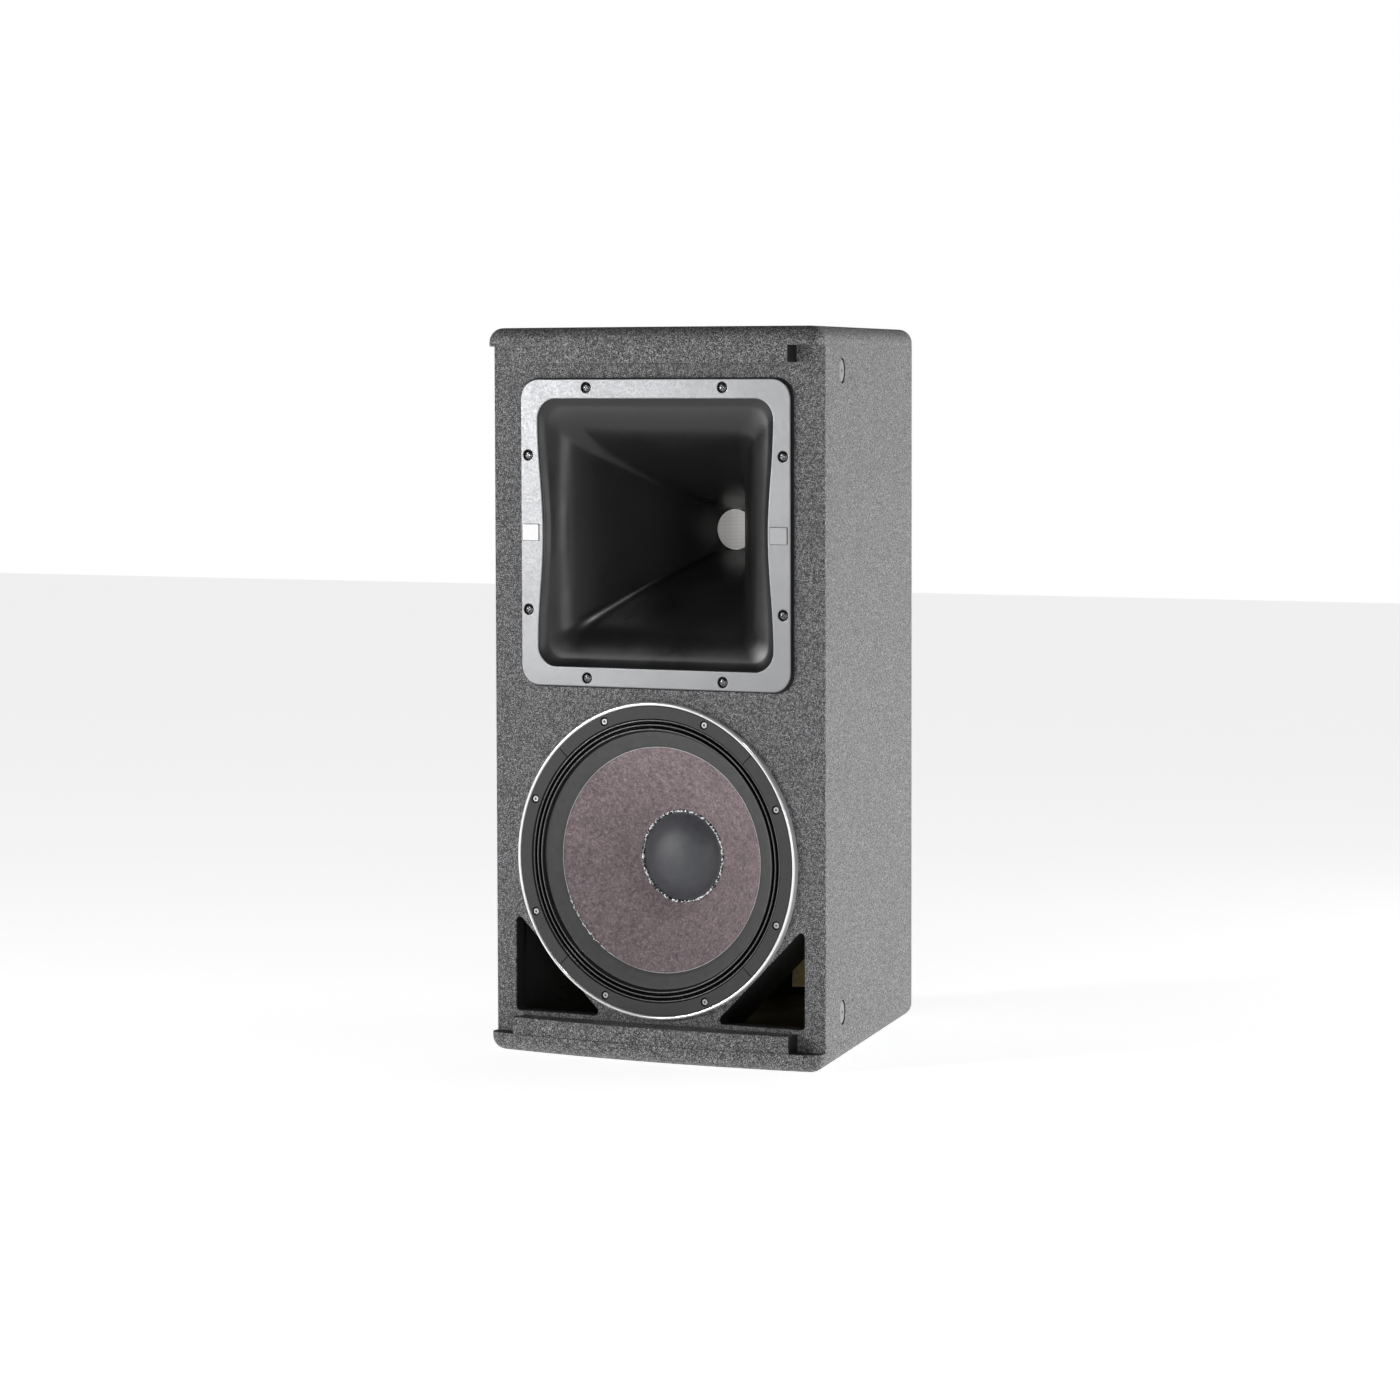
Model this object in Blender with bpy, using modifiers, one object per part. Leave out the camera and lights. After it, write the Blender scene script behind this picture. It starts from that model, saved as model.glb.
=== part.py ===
"""A two-way loudspeaker cabinet: plywood box with tapered sides, horn above, woofer below.

Metres, +Z up. The cabinet stands on z = 0 with the middle of its bounding box over the origin.
Every part is parented to one empty that stands on the front face of the baffle, so inside the
script y = 0 is the baffle's front face and +y runs back into the cabinet.
"""

import math

import bmesh
import bpy
from mathutils import Matrix, Vector

# Cabinet
HEIGHT = 0.711
FRONT_WIDTH = 0.368
DEPTH = 0.412                      # baffle's front face to the rear face of the back panel
TAPER = math.radians(15.3)         # each side leans in by this much towards the back
LIP = 0.031                        # top and bottom panels reach this far in front of the baffle
LIP_RADIUS = 1.1                   # plan radius of the bowed front edge
PLAN_CORNER = 0.0125               # plan radius of the panels' corners
EDGE_ROUND = 0.014                 # quarter round along the outer edges
TOP_THICK = 0.018
SIDE_THICK = 0.015
BAFFLE_THICK = 0.016
BACK_THICK = 0.015
GAP = 0.0003                       # clearance between pieces that touch

# Grille battens
BATTEN_HALF = 0.1535
BATTEN_TALL = 0.0165
BATTEN_SET_BACK = 0.0012           # behind the front edge of the lip

# Horn
HORN_Z = 0.5115
BEZEL_HALF = 0.1495
BEZEL_CORNER = 0.0195
GASKET_HALF = 0.1508
MOUTH_HALF = 0.130
MOUTH_CORNER = 0.020
MOUTH_BOW = 0.006                  # how far the two upright mouth edges curve in
HORN_CUTOUT = 0.1357
THROAT_RADIUS = 0.0204
THROAT_DEPTH = 0.160
THROAT_CORNER = 0.0025
HORN_WALL = 0.003
HORN_LINE = (                      # half width of the horn's inside against depth
    (0.0, 0.1240), (0.0020, 0.1160), (0.0050, 0.1080), (0.0100, 0.1003), (0.0180, 0.0925),
    (0.0300, 0.0838), (0.0500, 0.0715), (0.0700, 0.0595), (0.0920, 0.0472), (0.1200, 0.0345),
    (0.1500, 0.0234), (0.1600, THROAT_RADIUS),
)
SQUARE_END = 0.135                 # the horn turns from square to round behind this depth
FLANGE_FRONT = -0.0037             # the waveguide's front flange
FLANGE_BACK = -0.0013
HEAD_SEAT = -0.0029                # where the heads of the horn's screws bear
BEZEL_FRONT = -0.0053
BEZEL_BACK = -0.0040
HORN_SCREW_NEAR = 0.0755
HORN_SCREW_FAR = 0.1413

# Woofer, with its axis at x = 0
WOOFER_Z = 0.1945
WOOFER_RADIUS = 0.1545
WOOFER_CUTOUT = 0.140
WOOFER_SCREW_RING = 0.145
CONE_EDGE = 0.110
COIL_RADIUS = 0.0381
ROUND_STEPS = 32                   # facets of every ring of the woofer, so that they nest

# Ports in the bottom corners of the baffle
PORT_OUTER_X = 0.161
PORT_BOTTOM_Z = 0.039
PORT_LEG = 0.0985
PORT_CORNER = 0.004
PORT_BOARD_THICK = 0.0115
PORT_BOARD_DEPTH = 0.060

# Suspension points in the sides
FLY_ALONG = 0.077                  # from the front edge, along the side
FLY_Z = (0.048, 0.6685)

# Rear input dish
DISH_Z = 0.250
DISH_HALF_X = 0.042
DISH_HALF_Z = 0.067
DISH_DEPTH = 0.026
DISH_WALL = 0.0022
DISH_FLANGE = 0.0085
DISH_FLANGE_THICK = 0.0025
SOCKET_XS = (-0.019, 0.019)        # the dish's fittings are placed from its middle
SOCKET_Z = 0.040
STRIP_Z = -0.006
SWITCH_Z = -0.050

BRACE_Z = 0.347
BRACE_THICK = 0.015

CROSSOVER_Z = 0.460
CROSSOVER_HALF_X = 0.052
CROSSOVER_HALF_Z = 0.080

LEAN = math.tan(TAPER)
HALF = FRONT_WIDTH / 2
DISH_FRONT = DEPTH + GAP + DISH_FLANGE_THICK
BAFFLE_Y = (LIP - DISH_FRONT) / 2      # puts the middle of the bounding box at y = 0
FACING_FRONT = (math.pi / 2, 0.0, 0.0)  # turns local +z to the front
FACING_BACK = (-math.pi / 2, 0.0, 0.0)  # turns local +z to the back

COLOURS = {
    "painted_wood": ((0.055, 0.056, 0.058), 0.75, 0.0),
    "bare_wood": ((0.52, 0.38, 0.23), 0.8, 0.0),
    "black_plastic": ((0.012, 0.012, 0.013), 0.4, 0.0),
    "bezel_silver": ((0.42, 0.43, 0.44), 0.42, 0.7),
    "foam": ((0.02, 0.02, 0.02), 0.95, 0.0),
    "black_steel": ((0.02, 0.02, 0.021), 0.35, 0.8),
    "cast_aluminium": ((0.62, 0.62, 0.63), 0.3, 1.0),
    "cone_paper": ((0.15, 0.12, 0.125), 0.85, 0.0),
    "surround_cloth": ((0.03, 0.03, 0.032), 0.45, 0.0),
    "dust_cap": ((0.05, 0.055, 0.06), 0.6, 0.0),
    "copper": ((0.55, 0.25, 0.12), 0.35, 1.0),
    "zinc_steel": ((0.5, 0.5, 0.5), 0.35, 1.0),
    "ferrite": ((0.05, 0.05, 0.052), 0.6, 0.2),
    "titanium": ((0.45, 0.44, 0.42), 0.35, 1.0),
    "wool": ((0.62, 0.52, 0.27), 0.95, 0.0),
    "screen": ((0.55, 0.56, 0.56), 0.5, 0.8),
    "board": ((0.05, 0.12, 0.06), 0.5, 0.0),
    "component": ((0.2, 0.12, 0.05), 0.5, 0.0),
    "clear_cover": ((0.5, 0.5, 0.52), 0.15, 0.0),
    "spider_cloth": ((0.42, 0.3, 0.12), 0.9, 0.0),
    "wire": ((0.25, 0.02, 0.02), 0.5, 0.0),
}


# ---------------------------------------------------------------- scene and objects


def start_scene():
    """Empties the scene and makes the two collections, the root empty and the materials."""
    for obj in list(bpy.data.objects):
        bpy.data.objects.remove(obj)
    parts = bpy.data.collections.new("pa_speaker_cabinet")
    cutters = bpy.data.collections.new("cutters")
    cutters.hide_render = True
    for collection in (parts, cutters):
        bpy.context.scene.collection.children.link(collection)
    root = bpy.data.objects.new("baffle_origin", None)
    root.location = (0.0, BAFFLE_Y, 0.0)
    parts.objects.link(root)
    finishes = {name: make_finish(name, *look) for name, look in COLOURS.items()}
    return parts, cutters, root, finishes


def make_finish(name, colour, roughness, metallic):
    finish = bpy.data.materials.new(name)
    finish.use_nodes = True
    shader = finish.node_tree.nodes["Principled BSDF"]
    shader.inputs["Base Color"].default_value = (*colour, 1.0)
    shader.inputs["Roughness"].default_value = roughness
    shader.inputs["Metallic"].default_value = metallic
    finish.diffuse_color = (*colour, 1.0)
    return finish


def add_part(name, mesh, finish, place=(0.0, 0.0, 0.0), turn=(0.0, 0.0, 0.0), smooth=True):
    """One named sub-part with its own copy of a material, parented to the root empty."""
    obj = bpy.data.objects.new(name, mesh)
    PARTS.objects.link(obj)
    obj.parent = ROOT
    obj.location = place
    obj.rotation_euler = turn
    material = FINISHES[finish].copy()
    material.name = f"{name}_{finish}"
    mesh.materials.clear()
    mesh.materials.append(material)
    if smooth and mesh.polygons:
        mesh.shade_smooth()
        mesh.set_sharp_from_angle(angle=math.radians(35))
    return obj


def add_cutter(name, mesh, place=(0.0, 0.0, 0.0), turn=(0.0, 0.0, 0.0)):
    obj = bpy.data.objects.new(name, mesh)
    CUTTERS.objects.link(obj)
    obj.parent = ROOT
    obj.location = place
    obj.rotation_euler = turn
    obj.hide_render = True
    obj.display_type = "WIRE"
    return obj


def cut(obj, *cutters):
    """Takes each cutter out of obj with a live Boolean."""
    for cutter in cutters:
        boolean = obj.modifiers.new(cutter.name, "BOOLEAN")
        boolean.operation = "DIFFERENCE"
        boolean.solver = "EXACT"
        boolean.object = cutter


def evaluated_mesh(obj):
    """The mesh of obj with its modifiers or its curve bevel applied. obj is removed."""
    bpy.context.scene.collection.objects.link(obj)
    graph = bpy.context.evaluated_depsgraph_get()
    mesh = bpy.data.meshes.new_from_object(obj.evaluated_get(graph))
    bpy.data.objects.remove(obj)
    return mesh


def tidy(mesh, merge=1e-5):
    """Welds coincident points and points every face out."""
    work = bmesh.new()
    work.from_mesh(mesh)
    bmesh.ops.remove_doubles(work, verts=work.verts, dist=merge)
    bmesh.ops.recalc_face_normals(work, faces=work.faces)
    work.to_mesh(mesh)
    work.free()
    return mesh


# ---------------------------------------------------------------- outlines


def circle(radius, count, centre=(0.0, 0.0), start=0.0):
    step = 2 * math.pi / count
    return [
        (centre[0] + radius * math.cos(start + i * step), centre[1] + radius * math.sin(start + i * step))
        for i in range(count)
    ]


def rounded(corners, steps=4):
    """An outline from (x, y, radius) corners. A radius of 0 keeps the corner as one point."""
    points = []
    count = len(corners)
    for i, (x, y, radius) in enumerate(corners):
        corner = Vector((x, y))
        if radius == 0:
            points.append((x, y))
            continue
        before = (Vector(corners[i - 1][:2]) - corner).normalized()
        after = (Vector(corners[(i + 1) % count][:2]) - corner).normalized()
        half_angle = before.angle(after) / 2
        centre = corner + (before + after).normalized() * (radius / math.sin(half_angle))
        first = corner + before * (radius / math.tan(half_angle)) - centre
        last = corner + after * (radius / math.tan(half_angle)) - centre
        sweep = first.angle_signed(last)
        for k in range(steps + 1):
            spoke = first.copy()
            spoke.rotate(Matrix.Rotation(-sweep * k / steps, 2))
            points.append(tuple(centre + spoke))
    return points


def rounded_box(half_x, half_y, radius, steps=4, centre=(0.0, 0.0)):
    cx, cy = centre
    signs = ((1, -1), (1, 1), (-1, 1), (-1, -1))
    return rounded([(cx + sx * half_x, cy + sy * half_y, radius) for sx, sy in signs], steps)


def side_x(y, inset=0.0):
    """x of the right side's outer face at depth y, or of a face parallel to it, inset inwards."""
    return HALF - LEAN * y - inset / math.cos(TAPER)


def screw_places():
    """The eight horn screws, as (x, z) from the horn's centre."""
    near, far = HORN_SCREW_NEAR, HORN_SCREW_FAR
    return [(sx * a, sz * b) for a, b in ((near, far), (far, near)) for sx in (-1, 1) for sz in (-1, 1)]


def woofer_screw_places():
    angles = [math.radians(22.5 + 45 * i) for i in range(8)]
    return [(WOOFER_SCREW_RING * math.cos(a), WOOFER_SCREW_RING * math.sin(a)) for a in angles]


def port_triangle(side):
    """The port's outline on the baffle, on the side with this sign of x."""
    outer, bottom, leg = PORT_OUTER_X, PORT_BOTTOM_Z, PORT_LEG
    corners = [(outer, bottom), (outer, bottom + leg), (outer - leg, bottom)]
    return rounded([(side * x, z, PORT_CORNER) for x, z in corners], 3)


# ---------------------------------------------------------------- shapes


def flat_mesh(outlines, thickness):
    """A flat plate in the XY plane with z = 0 at its middle. Outlines inside the first are holes."""
    curve = bpy.data.curves.new("outline", "CURVE")
    curve.dimensions = "2D"
    curve.fill_mode = "BOTH"
    curve.extrude = thickness / 2
    for outline in outlines:
        spline = curve.splines.new("POLY")
        spline.points.add(len(outline) - 1)
        for point, (x, y) in zip(spline.points, outline):
            point.co = (x, y, 0.0, 1.0)
        spline.use_cyclic_u = True
    mesh = evaluated_mesh(bpy.data.objects.new("outline", curve))
    bpy.data.curves.remove(curve)
    return tidy(mesh)


def wall_plate(name, outlines, front, back, finish, x=0.0, z=0.0):
    """An upright plate that faces the front, between two depths. Outlines are (x, z) points."""
    mesh = flat_mesh(outlines, back - front)
    return add_part(name, mesh, finish, (x, (front + back) / 2, z), FACING_FRONT, smooth=False)


def floor_plate(name, outlines, low, high, finish):
    """A level plate between two heights. Outlines are (x, y) points."""
    mesh = flat_mesh(outlines, high - low)
    return add_part(name, mesh, finish, (0.0, 0.0, (low + high) / 2), smooth=False)


def profile_mesh(profile, closed):
    """A line of (radius, depth) points to be turned about local z, where depth runs down -z."""
    points = [(radius, 0.0, -depth) for radius, depth in profile]
    edges = [(i, i + 1) for i in range(len(points) - 1)]
    if closed:
        edges.append((len(points) - 1, 0))
    mesh = bpy.data.meshes.new("profile")
    mesh.from_pydata(points, edges, [])
    return mesh


def add_turning(obj, steps):
    screw = obj.modifiers.new("turn", "SCREW")
    screw.steps = steps
    screw.render_steps = steps
    screw.use_merge_vertices = True
    screw.merge_threshold = 0.00002
    screw.use_smooth_shade = True
    return obj


def turned(name, profile, finish, steps=24, closed=True, place=(0.0, 0.0, 0.0), turn=FACING_FRONT):
    """A turned sub-part. Its profile runs back along the outer side, then forward along the inner."""
    obj = add_part(name, profile_mesh(profile, closed), finish, place, turn)
    return add_turning(obj, steps)


def turned_mesh(profile, steps, closed=True):
    obj = add_turning(bpy.data.objects.new("turned", profile_mesh(profile, closed)), steps)
    return tidy(evaluated_mesh(obj))


def gathered(pieces):
    """One mesh that holds several separate solids, from (mesh, matrix) pairs."""
    whole = bmesh.new()
    for mesh, matrix in pieces:
        start = len(whole.verts)
        whole.from_mesh(mesh)
        whole.verts.ensure_lookup_table()
        bmesh.ops.transform(whole, matrix=matrix, verts=whole.verts[start:])
    mesh = bpy.data.meshes.new("gathered")
    whole.to_mesh(mesh)
    whole.free()
    return mesh


def at(x, y, z, turn=None):
    """A placement in the root's frame, facing the front unless another turn is given."""
    rotation = Matrix.Rotation(math.pi / 2, 4, "X") if turn is None else turn
    return Matrix.Translation((x, y, z)) @ rotation


def block_mesh(size):
    work = bmesh.new()
    bmesh.ops.create_cube(work, size=1.0)
    bmesh.ops.scale(work, vec=Vector(size), verts=work.verts)
    mesh = bpy.data.meshes.new("block")
    work.to_mesh(mesh)
    work.free()
    return mesh


def block(name, low, high, finish):
    size = [b - a for a, b in zip(low, high)]
    middle = [(a + b) / 2 for a, b in zip(low, high)]
    return add_part(name, block_mesh(size), finish, middle, smooth=False)


def loft_mesh(rings, closed=False):
    """Skins a list of rings of equal length. closed joins the last ring to the first."""
    work = bmesh.new()
    rows = [[work.verts.new(point) for point in ring] for ring in rings]
    count = len(rows[0])
    pairs = list(zip(rows, rows[1:]))
    if closed:
        pairs.append((rows[-1], rows[0]))
    for lower, upper in pairs:
        for i in range(count):
            j = (i + 1) % count
            work.faces.new((lower[i], lower[j], upper[j], upper[i]))
    if not closed:
        work.faces.new(rows[0])
        work.faces.new(rows[-1])
    bmesh.ops.recalc_face_normals(work, faces=work.faces)
    mesh = bpy.data.meshes.new("loft")
    work.to_mesh(mesh)
    work.free()
    return mesh


def smooth_path(points, per_span):
    """Points along a Catmull-Rom curve through the given points."""
    knots = [Vector(p) for p in points]
    knots = [knots[0] * 2 - knots[1], *knots, knots[-1] * 2 - knots[-2]]
    path = []
    for a, b, c, d in zip(knots, knots[1:], knots[2:], knots[3:]):
        for k in range(per_span):
            t = k / per_span
            path.append(
                0.5 * (2 * b + (c - a) * t + (2 * a - 5 * b + 4 * c - d) * t * t + (3 * b - a - 3 * c + d) * t**3)
            )
    path.append(knots[-2])
    return path


def tube_mesh(points, radius, per_span=3):
    """A wire along a smooth path, with closed ends."""
    curve = bpy.data.curves.new("wire", "CURVE")
    curve.dimensions = "3D"
    curve.bevel_depth = radius
    curve.bevel_resolution = 2
    curve.use_fill_caps = True
    path = smooth_path(points, per_span)
    spline = curve.splines.new("POLY")
    spline.points.add(len(path) - 1)
    for point, place in zip(spline.points, path):
        point.co = (*place, 1.0)
    mesh = evaluated_mesh(bpy.data.objects.new("wire", curve))
    bpy.data.curves.remove(curve)
    return tidy(mesh)


# ---------------------------------------------------------------- cabinet


def lip_y(x, set_back=0.0):
    """Depth of the bowed front edge at x, or of a line set back behind it."""
    sag = LIP_RADIUS - math.sqrt(LIP_RADIUS**2 - x * x)
    return -LIP + sag + set_back


def bowed_front(half, count, set_back=0.0):
    xs = [half * (2 * i / count - 1) for i in range(count + 1)]
    return [(x, lip_y(x, set_back)) for x in xs]


def panel_outline():
    """Plan of the top and bottom panels: tapered sides carried forward to the bowed lip."""
    front = lip_y(HALF)
    half_front = side_x(front)
    arc = [(x, y, 0.0) for x, y in bowed_front(half_front * 0.9, 8)]
    corners = [(-half_front, front, PLAN_CORNER), *arc, (half_front, front, PLAN_CORNER)]
    corners += [(side_x(DEPTH), DEPTH, PLAN_CORNER), (-side_x(DEPTH), DEPTH, PLAN_CORNER)]
    return rounded(corners, 4)


def rounded_panel_mesh():
    """A panel with its inner face at z = 0 and a quarter round along its outer edge."""
    mesh = flat_mesh([panel_outline()], TOP_THICK)
    work = bmesh.new()
    work.from_mesh(mesh)
    bmesh.ops.translate(work, vec=(0.0, 0.0, TOP_THICK / 2), verts=work.verts)
    bmesh.ops.dissolve_limit(work, angle_limit=0.001, verts=work.verts, edges=work.edges)
    rim = [e for e in work.edges if all(v.co.z > TOP_THICK * 0.9 for v in e.verts)]
    bmesh.ops.bevel(
        work, geom=rim, offset=EDGE_ROUND, segments=4, profile=0.5, affect="EDGES", clamp_overlap=False
    )
    work.to_mesh(mesh)
    work.free()
    return tidy(mesh)


def make_top_and_bottom():
    add_part("top_panel", rounded_panel_mesh(), "painted_wood", (0.0, 0.0, HEIGHT - TOP_THICK))
    upside_down = (0.0, math.pi, 0.0)
    add_part("bottom_panel", rounded_panel_mesh(), "painted_wood", (0.0, 0.0, TOP_THICK), upside_down)


def fly_place(side, z):
    """A suspension point's frame: origin on the side's outer face, local z out of the cabinet."""
    y = FLY_ALONG * math.cos(TAPER)
    outward = Vector((side * math.cos(TAPER), math.sin(TAPER), 0.0))
    turn = outward.to_track_quat("Z", "Y").to_matrix().to_4x4()
    return Matrix.Translation((side * side_x(y), y, z)) @ turn


def make_sides():
    """The two tapered sides, with a stepped hole at each suspension point."""
    bore = turned_mesh(
        [(0.0, -0.002), (0.0125, -0.002), (0.0125, 0.0035), (0.0073, 0.0035), (0.0073, 0.020), (0.0, 0.020)],
        12,
        closed=False,
    )
    low, high = TOP_THICK + GAP, HEIGHT - TOP_THICK - GAP
    for side, word in ((-1, "left"), (1, "right")):
        corners = [
            (side_x(0.0, SIDE_THICK), 0.0, 0.0),
            (side_x(0.0), 0.0, 0.0),
            (side_x(DEPTH), DEPTH, PLAN_CORNER),
            (side_x(DEPTH, SIDE_THICK), DEPTH, 0.0),
        ]
        outline = [(side * x, y) for x, y in rounded(corners, 4)]
        panel = floor_plate(f"{word}_side", [outline], low, high, "painted_wood")
        bores = gathered([(bore, fly_place(side, z)) for z in FLY_Z])
        cut(panel, add_cutter(f"{word}_fly_bores", bores))


def make_fly_points():
    """A flanged steel insert with its blanking screw flush in it, at each suspension point."""
    profile = [
        (0.0, 0.0026), (0.0030, 0.0026), (0.0030, 0.0006), (0.0108, 0.0006), (0.0112, 0.0032),
        (0.0069, 0.0032), (0.0069, 0.0175), (0.0, 0.0175),
    ]
    names = {(-1, 0): "left_low", (-1, 1): "left_high", (1, 0): "right_low", (1, 1): "right_high"}
    for (side, level), word in names.items():
        place = fly_place(side, FLY_Z[level])
        turn = place.to_euler()
        turned(f"fly_point_{word}", profile, "black_steel", 12, False, place.translation, turn)


def lean_ends(mesh, thickness):
    """Slants a plate's two upright ends so that they follow the tapered sides."""
    widest = max(v.co.x for v in mesh.vertices)
    for vertex in mesh.vertices:
        if abs(vertex.co.x) > widest - 1e-4 and vertex.co.z < 0:
            vertex.co.x -= math.copysign(LEAN * thickness, vertex.co.x)


def upright_panel(name, front, thickness, holes, finish):
    """A panel that fills the cabinet from side to side at one depth, with slanted ends."""
    half = side_x(front, SIDE_THICK) - GAP * 1.1
    low, high = TOP_THICK + GAP, HEIGHT - TOP_THICK - GAP
    outline = [(-half, low), (half, low), (half, high), (-half, high)]
    obj = wall_plate(name, [outline, *holes], front, front + thickness, finish)
    lean_ends(obj.data, thickness)
    return obj


def make_baffle():
    pilots = [circle(0.0026, 6, (x, HORN_Z + z)) for x, z in screw_places()]
    pilots += [circle(0.0027, 6, (x, WOOFER_Z + z)) for x, z in woofer_screw_places()]
    holes = [
        rounded_box(HORN_CUTOUT, HORN_CUTOUT, 0.014, 3, (0.0, HORN_Z)),
        circle(WOOFER_CUTOUT, ROUND_STEPS, (0.0, WOOFER_Z)),
        port_triangle(-1),
        port_triangle(1),
    ]
    upright_panel("baffle", 0.0, BAFFLE_THICK, holes + pilots, "painted_wood")


def make_back():
    holes = [rounded_box(DISH_HALF_X + 0.0035, DISH_HALF_Z + 0.0035, 0.006, 3, (0.0, DISH_Z))]
    holes += [circle(0.0019, 6, (x, DISH_Z + z)) for x, z in dish_screw_places()]
    upright_panel("back_panel", DEPTH - BACK_THICK, BACK_THICK, holes, "painted_wood")


def make_battens():
    """The strips under the top lip and over the bottom one, where a grille is fixed."""
    front = bowed_front(BATTEN_HALF, 8, BATTEN_SET_BACK)
    outline = [*front, (BATTEN_HALF, -GAP), (-BATTEN_HALF, -GAP)]
    top = HEIGHT - TOP_THICK - GAP
    floor_plate("top_batten", [outline], top - BATTEN_TALL, top, "painted_wood")
    bottom = TOP_THICK + GAP
    floor_plate("bottom_batten", [outline], bottom, bottom + BATTEN_TALL, "painted_wood")


def make_brace():
    """A level shelf between horn and woofer, with one window for air and wires."""
    front = BAFFLE_THICK + GAP
    back = DEPTH - BACK_THICK - GAP
    clear = SIDE_THICK + GAP * 1.1
    outer = [
        (-side_x(front, clear), front),
        (side_x(front, clear), front),
        (side_x(back, clear), back),
        (-side_x(back, clear), back),
    ]
    rail = 0.045
    window = [
        (-side_x(front, clear) + rail + 0.01, front + rail, 0.02),
        (side_x(front, clear) - rail - 0.01, front + rail, 0.02),
        (side_x(back, clear) - 0.012, back - rail, 0.02),
        (-side_x(back, clear) + 0.012, back - rail, 0.02),
    ]
    floor_plate("shelf_brace", [outer, rounded(window, 3)], BRACE_Z, BRACE_Z + BRACE_THICK, "bare_wood")


def make_port_boards():
    """A sloping board behind each port that closes its long side, from the floor to the side."""
    front = BAFFLE_THICK + GAP
    back = front + PORT_BOARD_DEPTH
    face = Vector((PORT_OUTER_X - PORT_LEG, PORT_BOTTOM_Z))
    rise = Vector((1.0, 1.0)).normalized()
    inward = Vector((-1.0, 1.0)).normalized()

    def section(y):
        """The board's four corners at one depth, cut to the floor and to the side."""
        corners = []
        for offset in (GAP, PORT_BOARD_THICK):
            line = face + inward * offset
            to_floor = (TOP_THICK + GAP - line.y) / rise.y
            to_side = (side_x(y, SIDE_THICK + GAP) - line.x) / rise.x
            corners.append((line + rise * to_floor, line + rise * to_side))
        (a, b), (d, c) = corners
        return [(p.x, y, p.y) for p in (a, b, c, d)]

    for side, word in ((-1, "left"), (1, "right")):
        rings = [[(side * x, yy, z) for x, yy, z in section(y)] for y in (front, back)]
        add_part(f"{word}_port_board", loft_mesh(rings), "painted_wood", smooth=False)


def make_damping():
    """Glass wool pads round the woofer's chamber, on both sides and on the back."""
    thick = 0.020
    low, high = 0.026, BRACE_Z - 0.004
    front, back = 0.125, 0.335
    inner, outer = SIDE_THICK + 0.001 + thick, SIDE_THICK + 0.001
    strip = [(side_x(front, outer), front), (side_x(back, outer), back),
             (side_x(back, inner), back), (side_x(front, inner), front)]
    for side, word in ((-1, "left"), (1, "right")):
        floor_plate(f"{word}_damping", [[(side * x, y) for x, y in strip]], low, high, "wool")
    rear = DEPTH - BACK_THICK - 0.001
    block("rear_damping", (-0.054, rear - thick, low), (0.054, rear, DISH_Z - 0.085), "wool")


# ---------------------------------------------------------------- horn


def mouth_outline(half_x, half_z, corner, bow, arc_steps, side_steps):
    """A rounded square whose two upright edges curve in by bow at mid-height."""
    points = []
    quarter = math.pi / 2
    for q, (sx, sz) in enumerate(((1, -1), (1, 1), (-1, 1), (-1, -1))):
        for k in range(arc_steps + 1):
            angle = -quarter + q * quarter + quarter * k / arc_steps
            x = sx * (half_x - corner) + corner * math.cos(angle)
            z = sz * (half_z - corner) + corner * math.sin(angle)
            points.append((x, z))
        level = q % 2 == 1
        for k in range(1, side_steps):
            t = 2 * k / side_steps - 1
            if level:
                points.append((-t * (half_x - corner) * sx, sz * half_z))
            else:
                rise = 0.5 + 0.5 * math.cos(math.pi * t)
                points.append((sx * (half_x - bow * rise), t * (half_z - corner) * -sz))
    return points


def round_ring(depth, radius, arc_steps=3, side_steps=3):
    """A circle whose points are in step with those of a rounded square."""
    per_quarter = arc_steps + side_steps
    step = math.pi / 2 / per_quarter
    first = -math.pi / 4 - step * arc_steps / 2
    angles = [first + step * i for i in range(4 * per_quarter)]
    return [(radius * math.cos(a), depth, radius * math.sin(a)) for a in angles]


def square_ring(depth, half, corner, bow=0.0, arc_steps=3, side_steps=3):
    outline = mouth_outline(half, half, corner, bow, arc_steps, side_steps)
    return [(x, depth, z) for x, z in outline]


def horn_ring(depth, half, grow=0.0):
    """The horn's inside at one depth, or a skin outside it: square at the mouth, round at the throat."""
    openness = (half - THROAT_RADIUS) / (MOUTH_HALF - THROAT_RADIUS)
    corner = THROAT_CORNER + (MOUTH_CORNER - THROAT_CORNER) * openness**1.3
    bow = MOUTH_BOW * max(0.0, 4 * openness - 3)
    square = square_ring(depth, half + grow, corner + grow, bow)
    if depth <= SQUARE_END:
        return square
    t = (depth - SQUARE_END) / (THROAT_DEPTH - SQUARE_END)
    circle_points = round_ring(depth, half + grow)
    return [Vector(a).lerp(Vector(b), t * t) for a, b in zip(square, circle_points)]


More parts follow.
